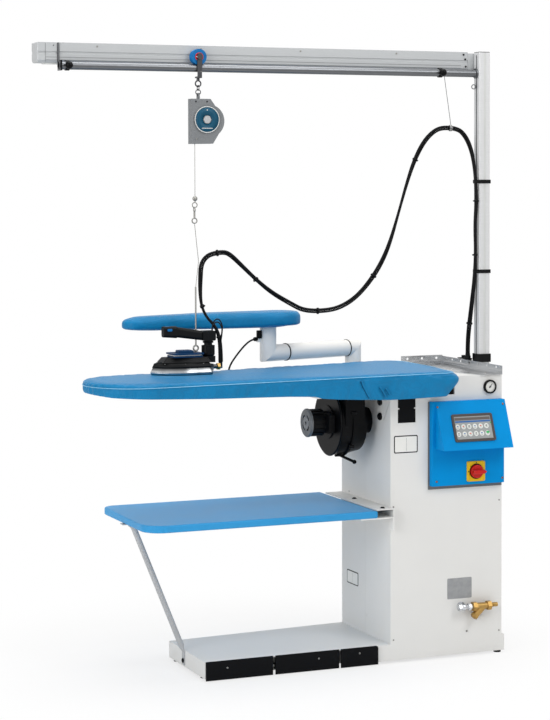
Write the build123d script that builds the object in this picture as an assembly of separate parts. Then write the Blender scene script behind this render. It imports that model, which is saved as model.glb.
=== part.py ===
from build123d import *
from math import atan2, cos, degrees, pi, radians, sin, tan
import os

# Ironing table with a vacuum board, a boiler cabinet, a sleeve board on a swivel arm, and a steam
# iron hung from a balancer that rolls along a gantry rail. Sizes are in millimetres.
# X runs along the board to the right, Y to the rear and Z up. Sizes are laid out from the
# cabinet's front left corner on the floor, and the finished model is moved to its own base centre.

# Clearances
FIT = 0.3            # between pieces that only touch
RUNNING = 0.06       # radial play of a pin in its bore

# Cabinet
CABINET_W = 400
CABINET_D = 374
SHEET = 2
STEP_TOP = 908       # top of the right-hand step that carries the iron rest
NOTCH_FLOOR = 850    # top of the covers under the board
NOTCH_W = 228
SEAM_Y = 190         # joint between the front and the rear cover
SEAM_GAP = 0.6
SLOT_X = (26, 89)    # opening in the front under the board
SLOT_BOTTOM = 766
SLOT_TAB = 5
SLOT_TAB_Z = 812
GROOVE_W = 3         # slanted slot in the left side
GROOVE_ENDS = ((4, 838), (51, 772))
INLET_X = 250
INLET_Z = 164
INLET_R = 9

# Plinth
PLINTH_TOP = 60
PLINTH_SKIRT_Z = 8
PLINTH_SHEET = 3
PLINTH_LEFT = -630
PLINTH_RIGHT = 410
PLINTH_LEFT_D = 330
PEDAL_BAY_D = 34
PEDAL_BAY_RIGHT = -45
FOOT_R = 12
FOOT_H = 6
FOOT_STEM_R = 5
FEET = ((-612, 56), (-612, 300), (393, 17), (393, 355))

# Pedals
PEDAL_X = ((-629, -407), (-398, -182))
PEDAL_COVER_X = (-175, -46)
PEDAL_PLATE = 4
PEDAL_FRONT = -6
PEDAL_Z = (2.6, 62)
PEDAL_ROD_R = 4
PEDAL_ROD_Y = 18
PEDAL_ROD_Z = 26
PEDAL_LUG_W = 4
PEDAL_LUG_R = 9
ROD_BRACKET_W = 3.4

# Bolts
COVER_BOLT_Y = 73.5
COVER_BOLT_Z = (828.5, 781.6)
COVER_BOLT_R = 10
COVER_SHANK_R = 5
SMALL_BOLT_R = 6
SMALL_SHANK_R = 3
WASHER_T = 1.2
LIP_BOLT_Y = (209, -5)

# Console on the cabinet's front
CONSOLE_X = (137, 397)
CONSOLE_Z = (560, 830)
CONSOLE_D = 22
HOOD_LEFT = 149
HOOD_LOW_Z = 680
HOOD_D = 82
CONSOLE_SHEET = 2
DISPLAY_W = 146
DISPLAY_H = 91
DISPLAY_X = 266.5
DISPLAY_DOWN = 89.7   # from the hood's top edge down its slope to the display's centre
DISPLAY_RIM = 8
DISPLAY_T = 4

# Main switch
SWITCH_X = 292.5
SWITCH_Z = 602
SWITCH_PLATE = 65
SWITCH_PLATE_T = 5
SWITCH_R = 21.5
SWITCH_DISC_T = 10
SWITCH_HANDLE_T = 15
SWITCH_HANDLE_W = 13
SWITCH_REACH = 27
SWITCH_TAIL = 20
SWITCH_SHAFT_R = 4

# Pressure gauge
GAUGE_X = 354.4
GAUGE_Z = 870
GAUGE_R = 22.5
GAUGE_BODY_R = 19
GAUGE_OUT = 9
GAUGE_IN = 14
GAUGE_DIAL_OUT = 4
NEEDLE_PIN_R = 1.2
NEEDLE_LENGTH = 13
NEEDLE_TILT = 38      # degrees clockwise from straight up

# Board
BOARD_TOP = 932
BOARD_FRONT = -80
NOSE_X = -808
NOSE_R = 172
BOARD_RIGHT = 216
BOARD_SHOULDER = 14
PAD_T = 18
SKIRT_T = 6
PAN_T = 3
PAN_BOTTOM = 864
PAN_SHALLOW_BOTTOM = 893
SUPPORT_T = 3
SUPPORT_RIGHT = 225
SUPPORT_REAR = 360
SUPPORT_LOW = 752

# Fan under the board
FAN_Y = 175
FAN_Z = 760
VOLUTE_LEFT = -141
VOLUTE_SPLIT = -97
VOLUTE_RIGHT = -53
VOLUTE_R = 108
VOLUTE_WALL = 3
NECK_X = (-125, -58)
NECK_Y = (67, 150)
SPIGOT_R = 42
IMPELLER_R = 88
IMPELLER_BLADES = 12
IMPELLER_X = (-131, -76)
SHAFT_R = 5
MOTOR_R = 44
MOTOR_LEFT = -209
MOTOR_RIBS = 18
CAP_R = 46
CAP_T = 8

# Shelf
SHELF_X = (-828, -61)
SHELF_Y = (-33, 415)
SHELF_TOP = 496
SHELF_T = 23
STRUT_R = 9
STRUT_Y = 190
STRUT_TOP_X = -800
STRUT_FOOT_Z = 27
STRUT_TAB_T = 3
LIP_RISE = 4
LIP_T = 3
LIP_W = 61
LEDGE_W = 118
LEDGE_T = 4

# Sleeve board arm
TUBE_R = 27
TUBE_WALL = 3
ARM_Z = 975
ARM_PIVOT = (68, 432)
RISER_AT = (-283, 331)
RISER_TOP = 1062
LEFT_ELBOW_RUN = 72
RIGHT_ELBOW_RUN = 30
PIVOT_BOTTOM = 700
SOCKET_WALL = 4
SOCKET_TOP = 845
FORM_X = (-786, -174)
FORM_TOP = 1107
FORM_LEFT_R = 44
FORM_RIGHT_R = 75

# Gantry
PLANE_Y = 187         # the plane of the rail, the balancer, the hose and the iron
POST_X = (405, 445)
POST_Y = (165, 205)
POST_WALL = 3
POST_TOP = 1958
POST_BOTTOM = 520
BOOM_X = (-1090, 383)
BOOM_Y = (204, 268)
BOOM_Z = (1898, 1960)
BOOM_WALL = 3
RAIL_R = 12.5
RAIL_WALL = 2
RAIL_Z = 1889
RAIL_LEFT = -1029
STOP_R = 12
STOP_X = (-1002, 270)

# Trolley and balancer
WHEEL_X = -576
WHEEL_TREAD_R = 21.7
WHEEL_FLANGE_R = 25
WHEEL_W = 22
AXLE_R = 4
HANGER_T = 4
HOOK_R = 9
HOOK_WIRE = 2.2
RING_R = 8
RING_WIRE = 1.4
BALANCER_LEFT = -603
BALANCER_TOP = 1793
BALANCER_BOTTOM = 1652
BALANCER_T = 36
WIRE_R = 1
WIRE_X = -588
STOP_BALL_Z = 1481
STOP_BALL_R = 8

# Iron
IRON_NOSE = -738
IRON_REAR = -546
IRON_HALF_W = 60
IRON_BOTTOM = 932.3
SKIRT_TOP = 967
BODY_TOP = 986
HANDLE_TIP = -697
COLUMN_X = -546
COLUMN_R = 13
KNOB_R = 21
KNOB_Z = (986.6, 1020)
BLOCK_X = (-569, -526)
BLOCK_Z = (1035, 1066)
ROD_X = -587
ROD_R = 2.5
ROD_TOP = 1204
BUTTON_X = -681
BUTTON_SIZE = (16, 12)
BUTTON_TRAVEL = 3

# Hoses
HOSE_R = 6
CABLE_R = 3

# Hose route points, in the order in which the hose runs from the iron to the post's foot
HOSE_IRON_ROUTE = (
    (-504, PLANE_Y, 966),
    (-504, PLANE_Y, 1000),
    (-508, PLANE_Y, 1046),
    (-523, PLANE_Y, 1082),
    (-552, PLANE_Y, 1109),
    (-568, PLANE_Y, 1146),
    (-572, PLANE_Y, 1191),
    (-571, PLANE_Y, 1235),
    (-569, PLANE_Y, 1271),
    (-557, PLANE_Y, 1293),
    (-536, PLANE_Y, 1307),
    (-514, PLANE_Y, 1310),
)
HOSE_FRONT_ROUTE = (
    (-514, PLANE_Y, 1310),
    (-492, PLANE_Y, 1313),
    (-470, PLANE_Y, 1304),
    (-436, PLANE_Y, 1273),
    (-385, PLANE_Y, 1225),
    (-330, PLANE_Y, 1181),
    (-266, PLANE_Y, 1145),
    (-214, PLANE_Y, 1118.5),
    (-169, PLANE_Y, 1118.5),
)
HOSE_SAG_ROUTE = (
    (-169, PLANE_Y, 1118.5),
    (-126, PLANE_Y, 1118.5),
    (-72, PLANE_Y, 1135),
    (-21, PLANE_Y, 1169),
    (31, PLANE_Y, 1228),
    (68, PLANE_Y, 1288),
    (94, PLANE_Y, 1350),
    (121, PLANE_Y, 1434),
    (152, PLANE_Y, 1535),
    (179, PLANE_Y, 1607),
    (211, PLANE_Y, 1663),
    (246, PLANE_Y, 1697),
    (280, PLANE_Y, 1710.5),
    (309, PLANE_Y, 1708.5),
)
HOSE_POST_ROUTE = (
    (309, PLANE_Y, 1708.5),
    (338, PLANE_Y, 1706.5),
    (365, 185, 1681),
    (383, 180, 1638),
    (391, 175, 1585),
    (395, 172, 1530),
    (397, 170, 1465),
    (393, 174, 1385),
    (396, 175, 1300),
    (395, 179, 1215),
    (392, 192, 1130),
    (391, 208, 1055),
    (391, 219, 1000),
    (391, 219, 960),
)
SLEEVE_CABLE_ROUTE = (
    (-322, 331, 1022),
    (-338, 331, 1022),
    (-362, 332, 1006),
    (-392, 334, 972),
    (-416, 336, 938),
    (-423, 335, 904),
    (-412, 328, 876),
    (-392, 314, 859),
    (-372, 298, 852),
    (-355, 284, 857),
    (-350, 277, 872),
    (-350, 277, 889),
)


def block(x, y, z):
    """A box from three ranges."""
    size = Box(x[1] - x[0], y[1] - y[0], z[1] - z[0])
    return Pos((x[0] + x[1]) / 2, (y[0] + y[1]) / 2, (z[0] + z[1]) / 2) * size


def across_x(outline, x0, x1):
    """A prism along X from an outline drawn in Y and Z."""
    plane = Plane(origin=(x0, 0, 0), x_dir=(0, 1, 0), z_dir=(1, 0, 0))
    return extrude(plane * outline, amount=x1 - x0)


def across_y(outline, y0, y1):
    """A prism along Y from an outline drawn in X and Z."""
    plane = Plane(origin=(0, y1, 0), x_dir=(1, 0, 0), z_dir=(0, -1, 0))
    return extrude(plane * outline, amount=y1 - y0)


def upward(outline, z0, z1):
    """A prism along Z from an outline drawn in X and Y."""
    return extrude(Plane.XY.offset(z0) * outline, amount=z1 - z0)


def polygon(*points):
    """A closed face with straight sides."""
    return make_face(Polyline(*points, close=True))


def bar(start, end, radius):
    """A round bar between two points."""
    direction = Vector(*end) - Vector(*start)
    plane = Plane(origin=start, z_dir=direction)
    return extrude(plane * Circle(radius), amount=direction.length)


def disc_x(x0, x1, y, z, radius):
    """A disc whose axis runs along X."""
    return bar((x0, y, z), (x1, y, z), radius)


def disc_y(y0, y1, x, z, radius):
    """A disc whose axis runs along Y."""
    return bar((x, y0, z), (x, y1, z), radius)


def disc_z(z0, z1, x, y, radius):
    """A disc whose axis runs along Z."""
    return bar((x, y, z0), (x, y, z1), radius)


def ring(x, y, z, radius, wire, normal):
    """A round ring of wire whose axis is normal."""
    return Plane(origin=(x, y, z), z_dir=normal) * Torus(radius, wire)


def group(*shapes):
    """Separate solids kept as one piece group."""
    solids = []
    for shape in shapes:
        solids += list(shape.solids())
    return Compound(children=solids)


def route_tube(points, radius, name):
    """A round tube along straight runs joined by tangent arcs, with its radii printed."""
    path_points = [Vector(*p) for p in points]
    radii = []
    for before, here, after in zip(path_points, path_points[1:], path_points[2:]):
        turn = (here - before).get_angle(after - here)
        shorter = min((here - before).length, (after - here).length)
        radii.append(0.45 * shorter / tan(radians(turn) / 2))
    path = FilletPolyline(*path_points, radius=radii)
    start = path_points[0]
    section = Plane(origin=start, z_dir=path_points[1] - start) * Circle(radius)
    tube = sweep(section, path=path)
    expected = pi * radius**2 * path.length
    print(name, "length", round(path.length, 1), "least radius", round(min(radii), 1),
          "volume share", round(tube.volume / expected, 4))
    return tube


# Base


def plinth():
    top_outline = polygon(
        (PLINTH_LEFT, 0),
        (PLINTH_RIGHT, 0),
        (PLINTH_RIGHT, CABINET_D),
        (0, CABINET_D),
        (PLINTH_LEFT, PLINTH_LEFT_D),
    )
    shell = upward(top_outline, PLINTH_SKIRT_Z, PLINTH_TOP)
    shell -= upward(offset(top_outline, -PLINTH_SHEET, kind=Kind.INTERSECTION),
                    PLINTH_SKIRT_Z, PLINTH_TOP - PLINTH_SHEET)
    bay = (PLINTH_LEFT + PLINTH_SHEET, PEDAL_BAY_RIGHT)
    under = (PLINTH_SKIRT_Z, PLINTH_TOP - PLINTH_SHEET)
    shell -= block(bay, (-1, PEDAL_BAY_D), under)
    shell += block(bay, (PEDAL_BAY_D, PEDAL_BAY_D + PLINTH_SHEET), under)
    side = (PEDAL_BAY_RIGHT - PLINTH_SHEET, PEDAL_BAY_RIGHT)
    shell += block(side, (0, PEDAL_BAY_D + PLINTH_SHEET), under)
    rod_ends = (PLINTH_LEFT + PLINTH_SHEET, PEDAL_X[1][1] + ROD_BRACKET_W)
    shell += disc_x(*rod_ends, PEDAL_ROD_Y, PEDAL_ROD_Z, PEDAL_ROD_R)
    gap_middle = (PEDAL_X[0][1] + PEDAL_X[1][0]) / 2
    for left in (gap_middle - ROD_BRACKET_W / 2, PEDAL_X[1][1]):
        bracket = block(
            (left, left + ROD_BRACKET_W),
            (PEDAL_ROD_Y - PEDAL_LUG_R, PEDAL_BAY_D),
            (PEDAL_ROD_Z - PEDAL_LUG_R, PEDAL_ROD_Z + PEDAL_LUG_R),
        )
        shell += bracket
    return shell


def feet():
    shapes = []
    for x, y in FEET:
        pad = disc_z(0, FOOT_H, x, y, FOOT_R)
        pad = fillet(pad.edges().group_by(Axis.Z)[-1], 2)
        stem = disc_z(FOOT_H, PLINTH_TOP - PLINTH_SHEET, x, y, FOOT_STEM_R)
        nut_top = PLINTH_SKIRT_Z + 6
        nut = upward(Pos(x, y) * RegularPolygon(9, 6), PLINTH_SKIRT_Z, nut_top)
        shapes.append(pad + stem + nut)
    return group(*shapes)


def pedal_plate(x_range):
    """The black front plate with its folded top edge."""
    back = PEDAL_FRONT + PEDAL_PLATE
    plate = block(x_range, (PEDAL_FRONT, back), PEDAL_Z)
    return fillet(plate.edges().filter_by(Axis.X).group_by(Axis.Y)[0], 1.5)


def pedal(x_range):
    plate = pedal_plate(x_range)
    hole_r = PEDAL_ROD_R + RUNNING
    for left in (x_range[0] + 4, x_range[1] - 4 - PEDAL_LUG_W):
        right = left + PEDAL_LUG_W
        web = block((left, right), (PEDAL_FRONT + PEDAL_PLATE, PEDAL_ROD_Y),
                    (PEDAL_ROD_Z - PEDAL_LUG_R, PEDAL_ROD_Z + PEDAL_LUG_R))
        web += disc_x(left, right, PEDAL_ROD_Y, PEDAL_ROD_Z, PEDAL_LUG_R)
        plate += web
        plate -= disc_x(left - 1, right + 1, PEDAL_ROD_Y, PEDAL_ROD_Z, hole_r)
    return plate


def pedal_cover():
    back = PEDAL_FRONT + PEDAL_PLATE
    plate = block(PEDAL_COVER_X, (PEDAL_FRONT, back), PEDAL_Z)
    upright = plate.edges().filter_by(Axis.Y)
    corner = upright.sort_by(lambda e: e.center().X + e.center().Z)[-1]
    plate = fillet(corner, 8)
    for left in (PEDAL_COVER_X[0] + 20, PEDAL_COVER_X[1] - 24):
        plate += block((left, left + PEDAL_LUG_W), (back, PEDAL_BAY_D - FIT), (14, 40))
    return plate


# Cabinet


def elevation(inset):
    """The covers' front outline, with the step on the right and the notch on the left."""
    return polygon(
        (inset, PLINTH_TOP),
        (CABINET_W - inset, PLINTH_TOP),
        (CABINET_W - inset, STEP_TOP - SHEET),
        (NOTCH_W + inset, STEP_TOP - SHEET),
        (NOTCH_W + inset, NOTCH_FLOOR),
        (inset, NOTCH_FLOOR),
    )


def cover_shell(y0, y1, open_y0, open_y1):
    """A U of folded sheet. Its inside is open at the top, the bottom and one end."""
    shell = across_y(elevation(0), y0, y1)
    core = across_y(
        polygon(
            (SHEET, PLINTH_TOP - 1),
            (CABINET_W - SHEET, PLINTH_TOP - 1),
            (CABINET_W - SHEET, STEP_TOP + 1),
            (SHEET, STEP_TOP + 1),
        ),
        open_y0,
        open_y1,
    )
    return shell - core


def front_cover():
    cover = cover_shell(0, SEAM_Y, SHEET, SEAM_Y + 1)
    slot = block(SLOT_X, (-1, SHEET + 1), (SLOT_BOTTOM, NOTCH_FLOOR + 1))
    for x in SLOT_X:
        tab = block((x - SLOT_TAB, x + SLOT_TAB), (-1, SHEET + 1), (SLOT_TAB_Z - 2, SLOT_TAB_Z + 2))
        slot -= tab
    cover -= slot
    (y0, z0), (y1, z1) = GROOVE_ENDS
    slant = atan2(z1 - z0, y1 - y0)
    across = (GROOVE_W / 2 * sin(slant), -GROOVE_W / 2 * cos(slant))
    groove = polygon(
        (y0 + across[0], z0 + across[1]),
        (y1 + across[0], z1 + across[1]),
        (y1 - across[0], z1 - across[1]),
        (y0 - across[0], z0 - across[1]),
    )
    cover -= across_x(groove, -1, SHEET + 1)
    cover -= disc_y(-1, SHEET + 1, GAUGE_X, GAUGE_Z, GAUGE_BODY_R + FIT)
    cover -= disc_y(-1, SHEET + 1, INLET_X, INLET_Z, INLET_R + FIT)
    vertical = cover.edges().filter_by(Axis.Z)
    corners = vertical.filter_by(lambda e: e.center().Y < 0.1 and not 1 < e.center().X < CABINET_W - 1)
    cover = fillet(corners, 1.2)
    return cover - [bolt_hole(p, ON_LEFT, COVER_SHANK_R, 2 * SHEET) for p in COVER_BOLTS]


def rear_cover():
    y0 = SEAM_Y + SEAM_GAP
    cover = cover_shell(y0, CABINET_D, y0 - 1, CABINET_D - SHEET)
    vents = []
    for row in range(6):
        z = 180 + 22 * row
        vents.append(block((250, 350), (CABINET_D - SHEET - 1, CABINET_D + 1), (z, z + 8)))
    return cover - vents


def top_plate():
    lid = block((NOTCH_W, CABINET_W), (0, CABINET_D), (STEP_TOP - SHEET, STEP_TOP))
    drop = block((NOTCH_W, NOTCH_W + SHEET), (SHEET, CABINET_D - SHEET),
                 (NOTCH_FLOOR, STEP_TOP - SHEET))
    for side in ((0, 2 * SHEET), (CABINET_D - 2 * SHEET, CABINET_D)):
        drop -= block((NOTCH_W - 1, NOTCH_W + SHEET + 1), side, (NOTCH_FLOOR - 1, STEP_TOP - SHEET))
    return lid + drop


def board_support():
    """The black welded box in the notch that carries the board."""
    left = SHEET + FIT
    right = SUPPORT_RIGHT
    y = (SHEET + FIT, SUPPORT_REAR)
    top = PAN_BOTTOM - FIT
    outer = block((left, right), y, (SUPPORT_LOW, top))
    inner = block((left + SUPPORT_T, right - SUPPORT_T), (y[0] + SUPPORT_T, y[1] - SUPPORT_T),
                  (SUPPORT_LOW - 1, top - SUPPORT_T))
    cheek = block((right - SUPPORT_T, right), y, (SUPPORT_LOW, STEP_TOP - 8))
    return outer - inner + cheek


def tank():
    """The boiler: a welded shell with domed ends on three legs."""
    radius, low, high, x, y, wall = 85, 150, 420, 112, 262, 4
    profile = polygon((0, low - 28), (52, low - 18), (radius, low + 8), (radius, high - 8),
                      (52, high + 18), (0, high + 28))
    inner = polygon((0, low - 28 + wall), (52 - wall, low - 18 + wall), (radius - wall, low + 10),
                    (radius - wall, high - 10), (52 - wall, high + 18 - wall), (0, high + 28 - wall))
    body = revolve(Plane.XZ * profile, axis=Axis.Z) - revolve(Plane.XZ * inner, axis=Axis.Z)
    body -= disc_z(high, high + 40, 0, 0, 24)
    body += disc_z(high + 16, high + 30, 0, 0, 40) - disc_z(high + 10, high + 31, 0, 0, 24)
    for step in range(3):
        angle = radians(30 + 120 * step)
        leg_x, leg_y = 68 * cos(angle), 68 * sin(angle)
        body += block((leg_x - 6, leg_x + 6), (leg_y - 6, leg_y + 6), (PLINTH_TOP, low + 8))
    return Pos(x, y, 0) * body


def heater():
    """Immersion heater: a flange with three looped elements and its terminal cap."""
    x, y, seat = 112, 262, 450
    flange = disc_z(seat, seat + 8, x, y, 40) + disc_z(seat + 8, seat + 40, x, y, 26)
    for step in range(3):
        angle = radians(60 * step)
        dx, dy = 14 * cos(angle), 14 * sin(angle)
        flange += bar((x + dx, y + dy, seat - 210), (x + dx, y + dy, seat), 4)
    for step in range(6):
        angle = radians(60 * step + 30)
        flange += disc_z(seat + 8, seat + 14, x + 33 * cos(angle), y + 33 * sin(angle), 4)
    return flange


def solenoid():
    """Steam valve on a pipe from the boiler's side, with its coil on top."""
    x, y, z = 250, 262, 400
    body = block((x - 24, x + 24), (y - 16, y + 16), (z - 14, z + 14))
    body = fillet(body.edges().filter_by(Axis.Z), 6)
    body += disc_x(112 + 85, x - 20, y, z, 8)
    body += disc_x(x + 20, x + 48, y, z, 8)
    body += disc_z(z + 14, z + 40, x, y, 9)
    body += block((x - 17, x + 17), (y - 20, y + 20), (z + 22, z + 58))
    return body


def pump():
    """Feed pump: motor, head and bracket on the plinth."""
    x, y, z = 300, 240, 112
    body = disc_y(y - 60, y + 60, x, z, 38)
    body += disc_y(y - 92, y - 60, x, z, 30)
    body += disc_y(y + 60, y + 74, x, z, 32)
    body += block((x - 34, x + 34), (y - 40, y + 40), (PLINTH_TOP, PLINTH_TOP + 4))
    body += block((x - 22, x + 22), (y - 30, y + 30), (PLINTH_TOP + 4, z))
    body += disc_z(z, z + 60, x, y - 78, 8)
    return body


# Console, switch and gauge


def console():
    """The blue box, with the sloping hood that carries the display."""
    box = block(CONSOLE_X, (-CONSOLE_D, 0), CONSOLE_Z)
    front = box.edges().filter_by(lambda e: abs(e.center().Y + CONSOLE_D) < 0.1)
    box = fillet(front.filter_by(Axis.Z), 1.5)
    side = polygon((-CONSOLE_D, HOOD_LOW_Z), (-HOOD_D, HOOD_LOW_Z), (-CONSOLE_D, CONSOLE_Z[1]))
    hood = across_x(side, HOOD_LEFT, CONSOLE_X[1] + 1)
    hollow = polygon(
        (-CONSOLE_D + 1, HOOD_LOW_Z + CONSOLE_SHEET),
        (-HOOD_D + 4, HOOD_LOW_Z + CONSOLE_SHEET),
        (-CONSOLE_D + 1, CONSOLE_Z[1] - 9),
    )
    body = box + hood
    body -= across_x(hollow, HOOD_LEFT + CONSOLE_SHEET, CONSOLE_X[1] - 1)
    body -= block((CONSOLE_X[0] + 3, CONSOLE_X[1] - 3), (3 - CONSOLE_D, 1),
                  (CONSOLE_Z[0] + 3, CONSOLE_Z[1] - 3))
    body -= disc_y(-CONSOLE_D - 1, 4 - CONSOLE_D, SWITCH_X, SWITCH_Z, SWITCH_SHAFT_R + 4)
    return body


def hood_plane(x, down):
    """A plane on the hood's slope, facing out, at x and so far down from its top edge."""
    slope = Vector(0, CONSOLE_D - HOOD_D, HOOD_LOW_Z - CONSOLE_Z[1]).normalized()
    origin = Vector(x, -CONSOLE_D, CONSOLE_Z[1]) + slope * down
    return Plane(origin=origin, x_dir=(1, 0, 0), z_dir=Vector(1, 0, 0).cross(slope * -1))


def display():
    plane = hood_plane(DISPLAY_X, DISPLAY_DOWN)
    frame = extrude(plane * RectangleRounded(DISPLAY_W, DISPLAY_H, 6), amount=DISPLAY_T)
    screen = plane.offset(DISPLAY_T - 1.5) * RectangleRounded(
        DISPLAY_W - 2 * DISPLAY_RIM, DISPLAY_H - 2 * DISPLAY_RIM, 2)
    return frame - extrude(screen, amount=3)


def switch_plate():
    y = -CONSOLE_D
    outline = RectangleRounded(SWITCH_PLATE, SWITCH_PLATE, 5)
    plate = across_y(Pos(SWITCH_X, SWITCH_Z) * outline, y - SWITCH_PLATE_T, y)
    plate = chamfer(plate.faces().sort_by(Axis.Y)[0].outer_wire().edges(), 1)
    plate -= disc_y(y - SWITCH_PLATE_T - 1, y + 1, SWITCH_X, SWITCH_Z, SWITCH_SHAFT_R + RUNNING)
    arc = SWITCH_R + 4.5
    for turn in (135, 200):
        x = SWITCH_X + arc * cos(radians(turn))
        z = SWITCH_Z + arc * sin(radians(turn))
        pocket = Pos(x, z) * Rot(0, 0, turn + 90) * SlotOverall(12, 4)
        plate -= across_y(pocket, y - SWITCH_PLATE_T - 1, y - SWITCH_PLATE_T + 2)
    return plate


def switch_knob():
    face = -CONSOLE_D - SWITCH_PLATE_T - FIT
    disc = disc_y(face - SWITCH_DISC_T, face, SWITCH_X, SWITCH_Z, SWITCH_R)
    disc = fillet(disc.edges().sort_by(Axis.Y)[0], 2.5)
    half = SWITCH_HANDLE_W / 2
    grip = polygon(
        (-SWITCH_TAIL, -half),
        (SWITCH_REACH - 8, -half),
        (SWITCH_REACH, 0),
        (SWITCH_REACH - 8, half),
        (-SWITCH_TAIL, half),
    )
    top = face - SWITCH_DISC_T
    handle = across_y(Pos(SWITCH_X, SWITCH_Z) * grip, top - SWITCH_HANDLE_T, top + 1)
    handle = chamfer(handle.faces().sort_by(Axis.Y)[0].outer_wire().edges(), 2)
    shaft = disc_y(face - 1, -CONSOLE_D + 2, SWITCH_X, SWITCH_Z, SWITCH_SHAFT_R)
    return disc + handle + shaft


def gauge_case():
    body = disc_y(-FIT, GAUGE_IN, GAUGE_X, GAUGE_Z, GAUGE_BODY_R)
    bezel = disc_y(-GAUGE_OUT, 0, GAUGE_X, GAUGE_Z, GAUGE_R)
    bezel = fillet(bezel.edges().sort_by(Axis.Y)[0], 2)
    well = disc_y(-GAUGE_OUT - 1, -GAUGE_DIAL_OUT, GAUGE_X, GAUGE_Z, GAUGE_R - 5)
    pin_hole = disc_y(-GAUGE_DIAL_OUT - 1, 4, GAUGE_X, GAUGE_Z, NEEDLE_PIN_R + RUNNING)
    return bezel + body - well - pin_hole


def gauge_needle():
    low = -GAUGE_DIAL_OUT - 1.2
    shape = polygon((-1.2, -5), (1.2, -5), (0.5, NEEDLE_LENGTH), (-0.5, NEEDLE_LENGTH))
    hand = Pos(GAUGE_X, GAUGE_Z) * Rot(0, 0, -NEEDLE_TILT) * shape
    needle = across_y(hand, low - 0.8, low)
    needle += disc_y(low - 1.4, low, GAUGE_X, GAUGE_Z, 3)
    needle += disc_y(low, 3, GAUGE_X, GAUGE_Z, NEEDLE_PIN_R)
    return needle


# Water inlet


def inlet_fitting():
    """Chrome nipple out of the cabinet, an elbow and two union nuts."""
    y = -24
    shape = disc_y(y, SHEET + 12, INLET_X, INLET_Z, INLET_R)
    shape += disc_y(-4, 0, INLET_X, INLET_Z, 14)
    shape += disc_x(INLET_X - 22, INLET_X + 30, y, INLET_Z, 8)
    shape += Pos(INLET_X, y, INLET_Z) * Sphere(INLET_R + 2.5)
    for start in (INLET_X - 20, INLET_X + 14):
        shape += across_x(Pos(y, INLET_Z) * RegularPolygon(12, 6), start, start + 10)
    return shape


def strainer():
    """Brass strainer body with its slanting cap, and the dark inlet stub."""
    y = -24
    left = INLET_X + 30
    right = left + 66
    body = disc_x(left, right, y, INLET_Z, 11)
    hexagon = RegularPolygon(15.5, 6)
    for start in (left, right - 14):
        body += across_x(Pos(y, INLET_Z) * hexagon, start, start + 14)
    branch_top = (left + 40, y, INLET_Z)
    slant = Vector(-0.72, 0, -0.69)
    middle = Vector(*branch_top) + slant * 40
    low = Vector(*branch_top) + slant * 52
    body += bar(branch_top, middle, 11.5)
    cap_plane = Plane(origin=middle, z_dir=slant)
    body += extrude(cap_plane * RegularPolygon(14, 6), amount=9)
    body += bar(middle, low, 8)
    stub = disc_x(right, right + 8, y, INLET_Z + 1, 5.5) + disc_x(right + 8, right + 24, y, INLET_Z + 1, 7)
    return group(body, stub)


# Board


def board_outline():
    """The board seen from above: a round nose, a straight front and a swelling rear edge."""
    nose_y = BOARD_FRONT + NOSE_R
    rear_nose = nose_y + NOSE_R
    corners = (
        (NOSE_X, rear_nose),
        (-528, rear_nose),
        (-310, 318),
        (0, 371),
        (110, 404),
        (BOARD_RIGHT, 409),
        (BOARD_RIGHT, 120),
        (180, BOARD_FRONT),
        (NOSE_X, BOARD_FRONT),
    )
    sides = FilletPolyline(*corners, radius=[300, 400, 150, 90, 64, 120, 42])
    nose = ThreePointArc((NOSE_X, rear_nose), (NOSE_X - NOSE_R, nose_y), (NOSE_X, BOARD_FRONT))
    return make_face([*sides.edges(), *nose.edges()])


def below(points):
    """Everything under a bottom line drawn in X and Z."""
    first, last = points[0], points[-1]
    return across_y(polygon(*points, (last[0], 700), (first[0], 700)), -200, 600)


HEM_LINE = ((-1100, 902), (-998, 897), (-934, 889), (-818, 885), (-640, 879), (-382, 875),
            (-292, 871), (-268, 864), (-211, 859), (-38, 850.5), (50, 851), (154, 854),
            (200, 899), (300, 903))
PAN_LINE = ((-1100, 908), (-934, 897), (-880, PAN_SHALLOW_BOTTOM), (-290, PAN_SHALLOW_BOTTOM),
            (-284, PAN_BOTTOM), (158, PAN_BOTTOM), (200, 905), (300, 905))


def raised(points, rise):
    return [(x, z + rise) for x, z in points]


def board_body(inset, top, bottom_line):
    outline = board_outline()
    if inset:
        outline = offset(outline, -inset)
    return upward(outline, 820, top) - below(bottom_line)


def board_cover():
    """Padded cloth cover: the soft top with rounded shoulders and a skirt down to the hem."""
    body = upward(board_outline(), 820, BOARD_TOP)
    body = fillet(body.faces().sort_by(Axis.Z)[-1].outer_wire().edges(), BOARD_SHOULDER)
    hollow = upward(offset(board_outline(), -SKIRT_T), 810, BOARD_TOP - PAD_T)
    return body - hollow - below(HEM_LINE)


def board_pan():
    """The vacuum chamber: a folded tray, deeper over the fan."""
    outer = board_body(SKIRT_T + FIT, BOARD_TOP - PAD_T - FIT, PAN_LINE)
    inner = board_body(SKIRT_T + FIT + PAN_T, BOARD_TOP, raised(PAN_LINE, PAN_T))
    duct = block((NECK_X[0] + VOLUTE_WALL, NECK_X[1] - VOLUTE_WALL),
                 (NECK_Y[0] + VOLUTE_WALL, NECK_Y[1] - VOLUTE_WALL),
                 (PAN_BOTTOM - 1, PAN_BOTTOM + PAN_T + 1))
    x, y, z = SLEEVE_CABLE_ROUTE[-1]
    gland = disc_z(z, PAN_SHALLOW_BOTTOM, x, y, 2 * CABLE_R)
    return outer - inner - duct + gland


# Fan


def fan_axis():
    return Axis((0, FAN_Y, FAN_Z), (1, 0, 0))


def spun(points):
    """A solid turned about the fan's axis from an outline in X and radius."""
    outline = Plane(origin=(0, FAN_Y, FAN_Z), x_dir=(1, 0, 0), z_dir=(0, -1, 0)) * polygon(*points)
    return revolve(outline, axis=fan_axis())


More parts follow.
